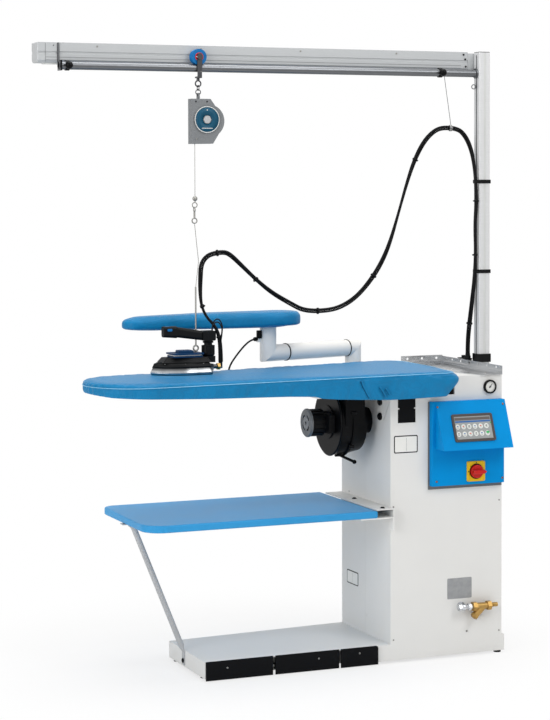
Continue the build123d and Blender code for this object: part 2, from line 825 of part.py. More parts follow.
def volute():
    """Two mouldings bolted at a flange, with the neck up to the board and the spigot."""
    left, split, right, wall = VOLUTE_LEFT, VOLUTE_SPLIT, VOLUTE_RIGHT, VOLUTE_WALL
    radius = VOLUTE_R
    outer = spun(((left, 0), (left, radius - 2), (left + 3, radius + 2), (left + 7, radius - 3),
                  (split - 3, radius - 2), (split - 2, radius + 4), (split + 2, radius + 4),
                  (split + 3, radius - 2), (right + 9, radius - 12), (right, radius - 22),
                  (right, 0)))
    inner = spun(((left + wall, 0), (left + wall, radius - 10), (left + 7, radius - 6),
                  (split + 3, radius - 5), (right + 6, radius - 15), (right - wall, radius - 25),
                  (right - wall, 0)))
    neck = block(NECK_X, NECK_Y, (FAN_Z, PAN_BOTTOM - FIT))
    neck_hollow = block((NECK_X[0] + wall, NECK_X[1] - wall), (NECK_Y[0] + wall, NECK_Y[1] - wall),
                        (FAN_Z, PAN_BOTTOM))
    spigot = disc_x(right - 1, -FIT, FAN_Y, FAN_Z, SPIGOT_R)
    body = outer + neck + spigot
    body -= inner
    body -= neck_hollow
    body -= disc_x(right - 6, 1, FAN_Y, FAN_Z, SPIGOT_R - wall)
    body -= disc_x(left - 1, left + wall + 1, FAN_Y, FAN_Z, CAP_R)
    for step in range(6):
        angle = radians(60 * step + 40)
        y = FAN_Y + (radius + 5) * cos(angle)
        z = FAN_Z + (radius + 5) * sin(angle)
        if z > FAN_Z + 60:
            continue
        body += disc_x(split - 8, split + 8, y, z, 6)
    drain_y = FAN_Y - 25
    drain = bar((left + 25, drain_y, FAN_Z - radius + 5), (right - 4, drain_y, FAN_Z - 131), 4.5)
    drain += Pos(right - 4, drain_y, FAN_Z - 131) * Sphere(7)
    under_pan = block((left - 1, 1), (0, 2 * FAN_Y), (0, PAN_BOTTOM - FIT))
    return (body & under_pan) + drain


def impeller():
    """Back plate, curved blades, front ring and hub on the motor's shaft."""
    low, high = IMPELLER_X
    wheel = disc_x(low, low + 2.5, FAN_Y, FAN_Z, IMPELLER_R)
    wheel += disc_x(low, high - 20, FAN_Y, FAN_Z, 14)
    front = disc_x(high - 2.5, high, FAN_Y, FAN_Z, IMPELLER_R)
    wheel += front - disc_x(high - 4, high + 1, FAN_Y, FAN_Z, 56)
    inner_r, outer_r, blade_t = 40, IMPELLER_R - 1, 2.4
    blades = []
    for step in range(IMPELLER_BLADES):
        turn = 360 / IMPELLER_BLADES * step
        curve = ThreePointArc((inner_r, 0), ((inner_r + outer_r) / 2, 13), (outer_r - 6, 34))
        back = ThreePointArc((inner_r, blade_t), ((inner_r + outer_r) / 2 - 1, 13 + blade_t),
                             (outer_r - 8, 34))
        face = make_face([curve, back, Line(back @ 1, curve @ 1), Line(curve @ 0, back @ 0)])
        blade = across_x(Pos(FAN_Y, FAN_Z) * Rot(0, 0, turn) * face, low + 2, high - 2)
        blades.append(blade)
    wheel += blades
    wheel += disc_x(MOTOR_LEFT + 12, low, FAN_Y, FAN_Z, SHAFT_R)
    return wheel


def motor():
    """Ribbed motor body, its neck and the flange that closes the volute."""
    neck_r = MOTOR_R - 8
    step_x = MOTOR_LEFT + 44
    body = disc_x(MOTOR_LEFT, step_x, FAN_Y, FAN_Z, MOTOR_R)
    grooves = []
    for step in range(MOTOR_RIBS):
        angle = 360 / MOTOR_RIBS * step
        groove = Pos(FAN_Y, FAN_Z) * Rot(0, 0, angle) * Pos(MOTOR_R, 0) * Rectangle(6, 5)
        grooves.append(across_x(groove, MOTOR_LEFT + 4, step_x - 4))
    body -= grooves
    body += disc_x(step_x, VOLUTE_LEFT, FAN_Y, FAN_Z, neck_r)
    body += disc_x(VOLUTE_LEFT - 3, VOLUTE_LEFT, FAN_Y, FAN_Z, CAP_R + 8)
    body -= disc_x(MOTOR_LEFT - 1, VOLUTE_LEFT + 1, FAN_Y, FAN_Z, SHAFT_R + RUNNING)
    return body


def fan_cap():
    """Slotted end cap of the motor."""
    left = MOTOR_LEFT - CAP_T
    cap = disc_x(left, MOTOR_LEFT, FAN_Y, FAN_Z, CAP_R)
    cap = chamfer(cap.edges().sort_by(Axis.X)[0], 3)
    cap -= disc_x(left + 3, MOTOR_LEFT + 1, FAN_Y, FAN_Z, CAP_R - 5)
    cap += disc_x(left, MOTOR_LEFT, FAN_Y, FAN_Z, 12)
    cap -= disc_x(left - 1, MOTOR_LEFT + 1, FAN_Y, FAN_Z, 6)
    middle_r, half_w = 25, 3.5
    for step in range(4):
        start = 90 * step + 20
        arcs = []
        for radius in (middle_r - half_w, middle_r + half_w):
            arcs.append(CenterArc((0, 0), radius, start, 50))
        ends = [Line(arcs[0] @ 0, arcs[1] @ 0), Line(arcs[0] @ 1, arcs[1] @ 1)]
        slot = make_face([arcs[0], ends[1], arcs[1], ends[0]])
        cap -= across_x(Pos(FAN_Y, FAN_Z) * slot, left - 1, left + 5)
    return cap


def terminal_box():
    """Motor terminal box on the side that faces the operator."""
    left = MOTOR_LEFT + 44 + FIT
    right = VOLUTE_LEFT - 3 - FIT
    box = block((left, right), (FAN_Y - 68, FAN_Y - 22), (FAN_Z - 30, FAN_Z + 31))
    box = fillet(box.edges().filter_by(Axis.X).group_by(Axis.Y)[0], 4)
    return box - disc_x(left - 1, right + 1, FAN_Y, FAN_Z, MOTOR_R - 8 + FIT)


# Shelf


def shelf_panel():
    x0, x1 = SHELF_X
    y0, y1 = SHELF_Y
    panel = block(SHELF_X, SHELF_Y, (SHELF_TOP - SHELF_T, SHELF_TOP))
    upright = panel.edges().filter_by(Axis.Z)
    panel = fillet(upright.sort_by_distance((x0, y0, SHELF_TOP))[0], 65)
    panel = fillet(panel.edges().filter_by(Axis.Z).sort_by_distance((x0, y1, SHELF_TOP))[0], 40)
    panel = fillet(panel.faces().sort_by(Axis.Z)[-1].outer_wire().edges(), 5)
    return chamfer(panel.faces().sort_by(Axis.Z)[0].outer_wire().edges(), 3)


def shelf_bracket():
    """Folded bracket on the cabinet's side: a ledge under the shelf and a lip over it."""
    under = SHELF_TOP - SHELF_T
    edge = SHELF_X[1]
    lip_top = SHELF_TOP + LIP_RISE
    lip_low = lip_top - LIP_T
    section = polygon(
        (0, lip_top),
        (edge, lip_top),
        (edge, SHELF_TOP),
        (edge + LIP_T, SHELF_TOP),
        (edge + LIP_T, lip_low),
        (-LEDGE_T, lip_low),
        (-LEDGE_T, under),
        (-LEDGE_W, under),
        (-LEDGE_W, under - LEDGE_T),
        (-LEDGE_T, under - LEDGE_T),
        (-LEDGE_T, under - 44),
        (0, under - 44),
    )
    bracket = across_y(section, -30, CABINET_D - 2)
    return bracket - [bolt_hole(p, ON_TOP, SMALL_SHANK_R, 2 * LIP_T) for p in LIP_BOLTS]


def shelf_strut():
    """Tube with flattened ends, from under the shelf to the plinth's left side."""
    under = SHELF_TOP - SHELF_T
    top = (STRUT_TOP_X, STRUT_Y, under - STRUT_TAB_T / 2)
    low = (PLINTH_LEFT - STRUT_TAB_T / 2 - 7, STRUT_Y, PLINTH_TOP + 14)
    slant = (Vector(*top) - Vector(*low)).normalized()
    tube_top = Vector(*top) - slant * 12
    tube = bar(low, tube_top, STRUT_R)
    top_tab = block((STRUT_TOP_X - 34, STRUT_TOP_X + 6), (STRUT_Y - 13, STRUT_Y + 13),
                    (under - STRUT_TAB_T, under))
    upper = loft([Plane(origin=tube_top, z_dir=slant) * Circle(STRUT_R),
                  Plane(origin=(STRUT_TOP_X - 3, STRUT_Y, under - STRUT_TAB_T / 2 - 3), z_dir=slant)
                  * Rectangle(20, 5)])
    foot_tab = block((PLINTH_LEFT - STRUT_TAB_T, PLINTH_LEFT), (STRUT_Y - 11, STRUT_Y + 11),
                     (STRUT_FOOT_Z - 13, PLINTH_TOP - 4))
    lower = loft([Plane(origin=low, z_dir=slant) * Circle(STRUT_R),
                  Plane(origin=(PLINTH_LEFT - STRUT_TAB_T / 2, STRUT_Y, PLINTH_TOP - 8),
                        z_dir=(0.1, 0, 1)) * Rectangle(STRUT_TAB_T, 22)])
    strut = tube + top_tab + upper + foot_tab + lower
    return strut - bolt_hole(STRUT_BOLT, ON_LEFT, SMALL_SHANK_R, STRUT_TAB_T + FIT)


ON_LEFT = (-1, 0, 0)
ON_TOP = (0, 0, 1)
COVER_BOLTS = tuple((0, COVER_BOLT_Y, z) for z in COVER_BOLT_Z)
LIP_BOLTS = tuple((SHELF_X[1] + LIP_W / 2, y, SHELF_TOP + LIP_RISE) for y in LIP_BOLT_Y)
STRUT_BOLT = (PLINTH_LEFT - STRUT_TAB_T, STRUT_Y, STRUT_FOOT_Z)


def bolt(point, direction, head_r, shank_r, shank):
    """Hexagon bolt and washer on a surface, with its shank going in."""
    out = Plane(origin=point, z_dir=direction)
    head = extrude(out * RegularPolygon(head_r, 6), amount=0.6 * head_r)
    washer = extrude(out * Circle(head_r + 2), amount=WASHER_T)
    return head + washer + extrude(out * Circle(shank_r), amount=-shank)


def bolt_hole(point, direction, shank_r, depth):
    """The hole that a bolt's shank passes through."""
    out = Plane(origin=point, z_dir=direction)
    return extrude(out * Circle(shank_r + FIT), amount=-depth)


def hex_bolts():
    bolts = [bolt(p, ON_LEFT, COVER_BOLT_R, COVER_SHANK_R, SHEET) for p in COVER_BOLTS]
    bolts += [bolt(p, ON_TOP, SMALL_BOLT_R, SMALL_SHANK_R, LIP_T) for p in LIP_BOLTS]
    bolts.append(bolt(STRUT_BOLT, ON_LEFT, SMALL_BOLT_R, SMALL_SHANK_R, STRUT_TAB_T))
    return group(*bolts)


# Sleeve board


def arm_direction():
    across = Vector(RISER_AT[0] - ARM_PIVOT[0], RISER_AT[1] - ARM_PIVOT[1], 0)
    return across.normalized(), across.length


def mitred(start, corner, end, radius):
    """Two round bars that meet at a corner in a mitre."""
    start, corner, end = Vector(*start), Vector(*corner), Vector(*end)
    first = (corner - start).normalized()
    second = (end - corner).normalized()
    mitre = Plane(origin=corner, z_dir=first + second)
    beyond = extrude(mitre * Rectangle(8 * radius, 8 * radius), amount=4 * radius)
    before = extrude(mitre * Rectangle(8 * radius, 8 * radius), amount=-4 * radius)
    leg = bar(start, corner + first * 2 * radius, radius) - beyond
    other = bar(corner - second * 2 * radius, end, radius) - before
    return leg + other


def hollow_pipe(points, radius, wall):
    start, corner, end = [Vector(*p) for p in points]
    first = (corner - start).normalized()
    last = (end - corner).normalized()
    inner = mitred(start - first, corner, end + last, radius - wall)
    return mitred(start, corner, end, radius) - inner


def base_elbow():
    along, _ = arm_direction()
    corner = Vector(*ARM_PIVOT, ARM_Z)
    end = corner + along * RIGHT_ELBOW_RUN
    points = [(*ARM_PIVOT, PIVOT_BOTTOM), tuple(corner), tuple(end)]
    return hollow_pipe(points, TUBE_R, TUBE_WALL)


def arm_tube():
    along, length = arm_direction()
    corner = Vector(*ARM_PIVOT, ARM_Z)
    start = corner + along * RIGHT_ELBOW_RUN
    end = corner + along * (length - LEFT_ELBOW_RUN)
    tube = bar(tuple(start), tuple(end), TUBE_R + 0.6)
    return tube - bar(tuple(start - along), tuple(end + along), TUBE_R - TUBE_WALL)


def riser_elbow():
    along, length = arm_direction()
    corner = Vector(*ARM_PIVOT, ARM_Z) + along * length
    start = corner - along * LEFT_ELBOW_RUN
    points = [tuple(start), tuple(corner), (*RISER_AT, RISER_TOP)]
    pipe = hollow_pipe(points, TUBE_R, TUBE_WALL)
    x, y = RISER_AT
    socket = block((x - TUBE_R - 12, x - TUBE_R + 2), (y - 7, y + 7), (RISER_TOP - 50, RISER_TOP - 22))
    return pipe + fillet(socket.edges().filter_by(Axis.Z), 3)


def sleeve_socket():
    """The fixed pipe behind the cabinet that the arm swings in."""
    x, y = ARM_PIVOT
    inner_r = TUBE_R + FIT
    low = PIVOT_BOTTOM - FIT - SOCKET_WALL
    pipe = disc_z(low, SOCKET_TOP, x, y, inner_r + SOCKET_WALL)
    pipe -= disc_z(PIVOT_BOTTOM - FIT, SOCKET_TOP + 1, x, y, inner_r)
    for z in (low, SOCKET_TOP - 45):
        shelf = block((x - 30, x + 30), (CABINET_D, y), (z, z + 6))
        pipe += shelf - disc_z(z - 1, z + 7, x, y, inner_r + SOCKET_WALL - 1)
    pipe += block((x - 36, x + 36), (CABINET_D, CABINET_D + 4), (low, SOCKET_TOP - 30))
    return pipe


def sleeve_form():
    """Padded sleeve board: wide and round at the right, narrow at the left."""
    x0, x1 = FORM_X
    y = RISER_AT[1]
    left_c, right_c = x0 + FORM_LEFT_R, x1 - FORM_RIGHT_R
    tilt = (FORM_RIGHT_R - FORM_LEFT_R) / (right_c - left_c)
    lean = atan2(tilt, (1 - tilt**2) ** 0.5)
    sides = []
    for hand in (1, -1):
        left_p = (left_c - FORM_LEFT_R * sin(lean), y + hand * FORM_LEFT_R * cos(lean))
        right_p = (right_c - FORM_RIGHT_R * sin(lean), y + hand * FORM_RIGHT_R * cos(lean))
        sides.append((left_p, right_p))
    outline = make_face([
        Line(*sides[0]),
        ThreePointArc(sides[0][1], (x1, y), sides[1][1]),
        Line(sides[1][1], sides[1][0]),
        ThreePointArc(sides[1][0], (x0, y), sides[0][0]),
    ])
    form = upward(outline, RISER_TOP + FIT, FORM_TOP)
    form = fillet(form.faces().sort_by(Axis.Z)[-1].outer_wire().edges(), 18)
    return fillet(form.faces().sort_by(Axis.Z)[0].outer_wire().edges(), 9)


# Iron rest


def iron_rest():
    """Stainless tray on the step: a cut-away floor and two upstands with a row of holes."""
    x0, x1, y0, y1 = 241, CABINET_W - 2, -7, 419
    low, t = STEP_TOP, 1.6
    floor = upward(polygon((322, y0), (x1, y0), (x1, y1), (x0, y1), (x0, 300)), low, low + t)
    right = block((x1 - t, x1), (y0, y1), (low, low + 28.5))
    rear = block((x0, x1), (y1 - t, y1), (low, low + 32))
    lip = block((x1 - 14, x1 - t), (y0, y1 - t), (low + 12, low + 12 + t))
    rear_lip = block((x0, x1 - 14), (y1 - 14, y1 - t), (low + 12, low + 12 + t))
    tray = floor + right + rear + lip + rear_lip
    for step in range(6):
        tray -= disc_x(x1 - t - 1, x1 + 1, y0 + 40 + 62 * step, low + 21, 4)
    for step in range(3):
        tray -= disc_y(y1 - t - 1, y1 + 1, x0 + 24 + 55 * step, low + 22, 4)
    return tray


# Gantry


def post():
    """Square aluminium tube beside the cabinet, on two spacers."""
    outer = RectangleRounded(POST_X[1] - POST_X[0], POST_Y[1] - POST_Y[0], 4)
    inner_w = POST_X[1] - POST_X[0] - 2 * POST_WALL
    inner_d = POST_Y[1] - POST_Y[0] - 2 * POST_WALL
    section = outer - RectangleRounded(inner_w, inner_d, 2)
    slot = Pos(0, -(POST_Y[1] - POST_Y[0]) / 2) * Rectangle(8, 2)
    section -= slot
    section -= Rot(0, 0, 180) * slot
    middle = Pos(sum(POST_X) / 2, sum(POST_Y) / 2)
    tube = upward(middle * section, POST_BOTTOM, POST_TOP)
    for z in (POST_BOTTOM + 20, STEP_TOP - 80):
        tube += block((CABINET_W, POST_X[0]), (POST_Y[0] + 4, POST_Y[1] - 4), (z, z + 50))
    return tube


def post_clamp():
    """Black collar round the post's foot, with its clamp screw."""
    z = (934, 961)
    outer = block((POST_X[0] - 3, POST_X[1] + 3), (POST_Y[0] - 4, POST_Y[1] + 4), z)
    outer = fillet(outer.edges().filter_by(Axis.Z), 3)
    bore = RectangleRounded(POST_X[1] - POST_X[0] + 0.4, POST_Y[1] - POST_Y[0] + 0.4, 4)
    collar = outer - upward(Pos(sum(POST_X) / 2, sum(POST_Y) / 2) * bore, z[0] - 1, z[1] + 1)
    collar += disc_x(POST_X[1] + 2, POST_X[1] + 10, sum(POST_Y) / 2, 945, 4)
    return group(collar, hose_bracket())


def hose_bracket():
    """Angle on the cabinet's right side with two glands for the iron's hose and cable."""
    x, y = HOSE_POST_ROUTE[-1][0], HOSE_POST_ROUTE[-1][1]
    upright = block((CABINET_W + FIT, CABINET_W + 3), (POST_Y[1] + 8, 262), (STEP_TOP - 40, 944))
    ledge = block((x - 16, CABINET_W + 3), (POST_Y[1] + 5, 262), (941, 944))
    bracket = upright + ledge
    for gland_y in (y, y + 24):
        bracket += disc_z(944, 952, x, gland_y, 10)
    bracket += disc_z(952, 960, x, y, HOSE_R + 2)
    return bracket


def boom_section(inset):
    """Lamp housing section in Y and Z, with a groove half way up and cut lower corners."""
    y0, y1 = BOOM_Y
    z0, z1 = BOOM_Z
    middle = (z0 + z1) / 2
    cut = 8
    depth = 2.5
    return polygon(
        (y0 + cut, z0), (y1 - cut, z0), (y1, z0 + cut), (y1, middle - 4), (y1 - depth, middle - 2),
        (y1 - depth, middle + 2), (y1, middle + 4), (y1, z1), (y0, z1), (y0, middle + 4),
        (y0 + depth, middle + 2), (y0 + depth, middle - 2), (y0, middle - 4), (y0, z0 + cut),
    ) if not inset else polygon(
        (y0 + cut + inset, z0 - 1), (y1 - cut - inset, z0 - 1), (y1 - cut - inset, z0 + inset),
        (y1 - depth - inset, z0 + cut + inset), (y1 - depth - inset, z1 - inset),
        (y0 + depth + inset, z1 - inset), (y0 + depth + inset, z0 + cut + inset),
        (y0 + cut + inset, z0 + inset),
    )


def boom():
    """The lamp housing, its two end caps and the plate that fixes it to the post."""
    cap_t = 26
    x0, x1 = BOOM_X
    body = across_x(boom_section(0), x0 + cap_t, x1 - cap_t)
    body -= across_x(boom_section(BOOM_WALL), x0 + cap_t - 1, x1 - cap_t + 1)
    caps = []
    for start, end, edge in ((x0, x0 + cap_t, 0), (x1 - cap_t, x1, -1)):
        cap = across_x(boom_section(0), start, end)
        rim = cap.faces().sort_by(Axis.X)[edge].outer_wire().edges()
        caps.append(chamfer(rim, 2))
    plate = block((x1, POST_X[1]), (POST_Y[1], POST_Y[1] + 5), (BOOM_Z[0] + 4, BOOM_Z[1] - 4))
    plate += block((x1, x1 + 4), (POST_Y[1], BOOM_Y[1] - 6), (BOOM_Z[0] + 4, BOOM_Z[1] - 4))
    return group(body, *caps, plate)


def rail():
    """Round rail with its flange at the post, the hanger at its free end and the eye below."""
    tube = disc_x(RAIL_LEFT, POST_X[0] - 5, PLANE_Y, RAIL_Z, RAIL_R)
    tube -= disc_x(RAIL_LEFT - 1, POST_X[0] - 8, PLANE_Y, RAIL_Z, RAIL_R - RAIL_WALL)
    tube += disc_x(POST_X[0] - 5, POST_X[0], PLANE_Y, RAIL_Z, 17)
    hanger_x = (RAIL_LEFT + 2, RAIL_LEFT + 7)
    strap = block(hanger_x, (PLANE_Y - RAIL_R - 3, BOOM_Y[0]), (RAIL_Z - RAIL_R - 3, BOOM_Z[1] - 2))
    strap -= block((hanger_x[0] - 1, hanger_x[1] + 1), (PLANE_Y - RAIL_R - 4, BOOM_Y[0] - 3),
                   (RAIL_Z + RAIL_R + 3, BOOM_Z[1]))
    strap -= disc_x(hanger_x[0] - 1, hanger_x[1] + 1, PLANE_Y, RAIL_Z, RAIL_R)
    eye = ring(POST_X[0] - 10, PLANE_Y, 1845, 7, 1.6, (0, 1, 0))
    eye += disc_x(POST_X[0] - 3.5, POST_X[0], PLANE_Y, 1845, 3)
    return tube + strap + eye


def rail_stops():
    """Black ball knobs clamped on the rail near its ends."""
    stops = []
    for x in STOP_X:
        collar = disc_x(x - 6, x + 6, PLANE_Y, RAIL_Z, RAIL_R + 3)
        collar -= disc_x(x - 7, x + 7, PLANE_Y, RAIL_Z, RAIL_R)
        y = PLANE_Y - RAIL_R - STOP_R
        stem = disc_y(y, PLANE_Y - RAIL_R, x, RAIL_Z, 4)
        stops.append(collar + stem + Pos(x, y, RAIL_Z) * Sphere(STOP_R))
    return group(*stops)


def hose_hanger():
    """Thin wire from the rail's right-hand stop to the band round the top of the hose."""
    x, _, z = HOSE_SAG_ROUTE[-1]
    along = Vector(*HOSE_SAG_ROUTE[-1]) - Vector(*HOSE_SAG_ROUTE[-2])
    band_plane = Plane(origin=(x, PLANE_Y, z), z_dir=along)
    band = band_plane * (Cylinder(HOSE_R + 2, 10) - Cylinder(HOSE_R + FIT, 12))
    knob_y = PLANE_Y - RAIL_R - STOP_R
    top = (STOP_X[1] + 4, knob_y, RAIL_Z - STOP_R - FIT)
    wire = bar(top, (x, PLANE_Y - 4, z + HOSE_R + 0.6), 0.9)
    return band + wire


# Trolley


def wheel():
    """Grooved wheel that rolls on the rail."""
    half = WHEEL_W / 2
    waist = WHEEL_TREAD_R
    outline = polygon(
        (AXLE_R + RUNNING, -half), (WHEEL_FLANGE_R, -half), (WHEEL_FLANGE_R, -half + 3),
        (waist, -4), (waist, 4), (WHEEL_FLANGE_R, half - 3), (WHEEL_FLANGE_R, half),
        (AXLE_R + RUNNING, half),
    )
    turned = revolve(Plane.XY * outline, axis=Axis.Y)
    groove_r = RAIL_R + FIT
    centre_z = RAIL_Z + RAIL_R + FIT + WHEEL_TREAD_R
    groove = Torus(waist + groove_r, groove_r)
    return Pos(WHEEL_X, PLANE_Y, centre_z) * (turned - Rot(90, 0, 0) * groove)


def wheel_centre_z():
    return RAIL_Z + RAIL_R + FIT + WHEEL_TREAD_R


def trolley_hanger():
    """Axle, cheek plate, hook block under the rail, snap hook and two rings."""
    z = wheel_centre_z()
    front = PLANE_Y - WHEEL_W / 2 - 2
    x = WHEEL_X
    axle = disc_y(front - 1, PLANE_Y + WHEEL_W / 2 + 2, x, z, AXLE_R)
    axle += disc_y(front - HANGER_T - 4, front - HANGER_T, x, z, 9)
    axle += disc_y(PLANE_Y + WHEEL_W / 2 + 1, PLANE_Y + WHEEL_W / 2 + 3, x, z, 8)
    cheek = across_y(Pos(x, z - 20) * SlotOverall(64, 16, rotation=90), front - HANGER_T, front)
    low = RAIL_Z - RAIL_R - 14
    arm = block((x - 7, x + 7), (front - HANGER_T, front), (low, z - 20))
    foot = block((x - 7, x + 7), (front - HANGER_T, PLANE_Y + 9), (low - 5, low))
    body = axle + cheek + arm + foot
    body += disc_z(low - 14, low - 4, x, PLANE_Y, 5)
    hook_z = low - 22
    hook = ring(x, PLANE_Y, hook_z, HOOK_R, HOOK_WIRE, (0, 1, 0))
    upper_z = hook_z - HOOK_R + HOOK_WIRE + RING_WIRE - RING_R
    upper = ring(x, PLANE_Y, upper_z, RING_R, RING_WIRE, (1, 0, 0))
    lower = ring(x, PLANE_Y, lower_ring_z(), RING_R, RING_WIRE, (0, 1, 0))
    return group(body + hook, upper, lower)


def lower_ring_z():
    """Height of the lower ring, which hangs in the upper one and carries the balancer's lug."""
    hook_z = RAIL_Z - RAIL_R - 36
    upper_z = hook_z - HOOK_R + HOOK_WIRE + RING_WIRE - RING_R
    return upper_z - 2 * RING_R + 2 * RING_WIRE


def balancer():
    """Spring balancer: a flat housing, straight at the left and round at the right."""
    x, top, low = BALANCER_LEFT, BALANCER_TOP, BALANCER_BOTTOM
    y0 = PLANE_Y - BALANCER_T / 2
    y1 = PLANE_Y + BALANCER_T / 2
    outline = make_face([
        Line((x, low), (x, top)),
        Line((x, top), (x + 64, top)),
        Line((x + 64, top), (x + 80, top - 22)),
        ThreePointArc((x + 80, top - 22), (x + 110, top - 68), (x + 92, top - 108)),
        Line((x + 92, top - 108), (x + 72, low + 1)),
        Line((x + 72, low + 1), (x, low)),
    ])
    body = across_y(outline, y0 + 4, y1)
    body = fillet(body.faces().sort_by(Axis.Y)[0].outer_wire().edges(), 2)
    disc = (x + 50, top - 65)
    body += disc_y(y0, y0 + 5, *disc, 40)
    body -= disc_y(y0 - 1, y0 + 1.5, *disc, 36)
    body += disc_y(y0 - 2, y0 + 2, *disc, 13)
    seat = lower_ring_z() - RING_R + RING_WIRE
    eye_r = 2.5 * RING_WIRE
    lug = (WHEEL_X - 2, WHEEL_X + 2)
    body += block(lug, (PLANE_Y - 10, PLANE_Y + 10), (top - 2, seat + 4))
    body -= disc_x(lug[0] - 1, lug[1] + 1, PLANE_Y, seat + FIT - eye_r, eye_r)
    body -= disc_y(y0 - 1, y1 + 1, x + 52, top - 9, 3)
    return body - disc_y(y0 - 1, y1 + 1, x + 15, top - 9, 3)


def lift_wire():
    return disc_z(STOP_BALL_Z + STOP_BALL_R + FIT, BALANCER_BOTTOM, WIRE_X, PLANE_Y, WIRE_R)


# Iron


def iron_plan(inset):
    """The sole seen from above, pointed at the nose and square at the rear."""
    half = IRON_HALF_W - inset
    nose = IRON_NOSE + 1.5 * inset
    rear = IRON_REAR - inset
    side = IRON_NOSE + 112
    return make_face([
        ThreePointArc((nose, PLANE_Y), (nose + 40, PLANE_Y + half * 0.66), (side, PLANE_Y + half)),
        Line((side, PLANE_Y + half), (rear - 10, PLANE_Y + half - 4)),
        ThreePointArc((rear - 10, PLANE_Y + half - 4), (rear - 2, PLANE_Y + half - 9),
                      (rear, PLANE_Y + half - 20)),
        Line((rear, PLANE_Y + half - 20), (rear, PLANE_Y - half + 20)),
        ThreePointArc((rear, PLANE_Y - half + 20), (rear - 2, PLANE_Y - half + 9),
                      (rear - 10, PLANE_Y - half + 4)),
        Line((rear - 10, PLANE_Y - half + 4), (side, PLANE_Y - half)),
        ThreePointArc((side, PLANE_Y - half), (nose + 40, PLANE_Y - half * 0.66), (nose, PLANE_Y)),
    ])


def soleplate():
    """Sole and chrome skirt, with the steam union behind."""
    low = Plane.XY.offset(IRON_BOTTOM) * iron_plan(2)
    edge = Plane.XY.offset(IRON_BOTTOM + 6) * iron_plan(0)
    waist = Plane.XY.offset(IRON_BOTTOM + 9) * iron_plan(0)
    top = Plane.XY.offset(SKIRT_TOP) * iron_plan(9)
    body = loft([low, edge], ruled=True) + loft([edge, waist], ruled=True)
    body += loft([waist, top], ruled=True)
    union = block((IRON_REAR - 2, IRON_REAR + 14), (PLANE_Y - 12, PLANE_Y + 12), (941, 962))
    union += disc_x(IRON_REAR + 12, IRON_REAR + 30, PLANE_Y, 952, 7)
    nut_plane = Pos(PLANE_Y, 952) * RegularPolygon(11, 6)
    nut = across_x(nut_plane, IRON_REAR + 30, IRON_REAR + 38)
    x = HOSE_IRON_ROUTE[0][0]
    nut += disc_x(IRON_REAR + 38, x, PLANE_Y, 952, 6)
    nut += disc_z(946, HOSE_IRON_ROUTE[0][2], x, PLANE_Y, HOSE_R)
    return body + union + nut


def iron_body():
    """Black body sloping up from the nose, with the rear column that carries the handle."""
    low = Plane.XY.offset(SKIRT_TOP) * iron_plan(11)
    raised_plan = make_face(Polyline(
        (-694, PLANE_Y - 20), (-600, PLANE_Y - 40), (-562, PLANE_Y - 36), (-556, PLANE_Y - 20),
        (-556, PLANE_Y + 20), (-562, PLANE_Y + 36), (-600, PLANE_Y + 40), (-694, PLANE_Y + 20),
        close=True))
    plinth_body = upward(iron_plan(13), SKIRT_TOP, SKIRT_TOP + 5)
    hump = extrude(Plane.XY.offset(SKIRT_TOP + 4) * offset(raised_plan, 12, kind=Kind.INTERSECTION),
                   amount=BODY_TOP - SKIRT_TOP - 4, taper=38)
    column = disc_z(SKIRT_TOP, BLOCK_Z[0], COLUMN_X, PLANE_Y, COLUMN_R)
    foot = block((-572, IRON_REAR + 20), (PLANE_Y - 17, PLANE_Y + 17), (SKIRT_TOP, KNOB_Z[0] - FIT))
    foot = fillet(foot.edges().filter_by(Axis.Z), 6)
    return upward(iron_plan(11), SKIRT_TOP, SKIRT_TOP + 1) + plinth_body + hump + column + foot


def heat_shield():
    """Three stacked plates on spacers over the body."""
    z = BODY_TOP
    centre_x, y = -623, PLANE_Y
    lower = upward(Pos(centre_x, y) * RectangleRounded(100, 76, 14), z, z + 5)
    spacer = upward(Pos(centre_x, y) * RectangleRounded(80, 60, 10), z + 5, z + 9)
    upper = upward(Pos(centre_x, y) * RectangleRounded(106, 84, 16), z + 9, z + 13)
    small = upward(Pos(centre_x - 2, y) * RectangleRounded(50, 46, 10), z + 13, z + 21)
    small = fillet(small.faces().sort_by(Axis.Z)[-1].outer_wire().edges(), 3)
    plates = lower + spacer + upper + small
    return plates


def handle():
    """Grip tapering from the rear block to the black tip with the steam button."""
    y = PLANE_Y
    tip = Plane(origin=(HANDLE_TIP, y, 1066), z_dir=(1, 0, 0))
    waist = Plane(origin=(-652, y, 1064), z_dir=(1, 0, 0))
    root = Plane(origin=(BLOCK_X[0] + 1, y, 1051), z_dir=(1, 0, 0))
    tip_end = Plane(origin=(-654, y, 1064), z_dir=(1, 0, 0))
    cap = loft([tip * RectangleRounded(34, 25, 8), tip_end * RectangleRounded(37, 29, 9)], ruled=True)
    grip = loft([waist * RectangleRounded(33, 25, 9), root * RectangleRounded(30, 27, 9)], ruled=True)
    grip += block((-655, -650), (y - 14, y + 14), (1054, 1074))
    rear = block(BLOCK_X, (y - 18, y + 18), BLOCK_Z)
    rear = fillet(rear.edges().filter_by(Axis.Y), 5)
    body = cap + grip + rear
    body -= disc_z(1000, 1100, ROD_X, y, ROD_R + 2)
    w, d = BUTTON_SIZE
    pocket = block((BUTTON_X - w / 2 - FIT, BUTTON_X + w / 2 + FIT),
                   (y - d / 2 - FIT, y + d / 2 + FIT), (1068, 1100))
    return body - pocket


def button():
    """Steam button in the handle's tip."""
    w, d = BUTTON_SIZE
    low = 1068 + BUTTON_TRAVEL + 1
    key = block((BUTTON_X - w / 2, BUTTON_X + w / 2), (PLANE_Y - d / 2, PLANE_Y + d / 2),
                (low, 1083))
    return fillet(key.edges().group_by(Axis.Z)[-1], 2)


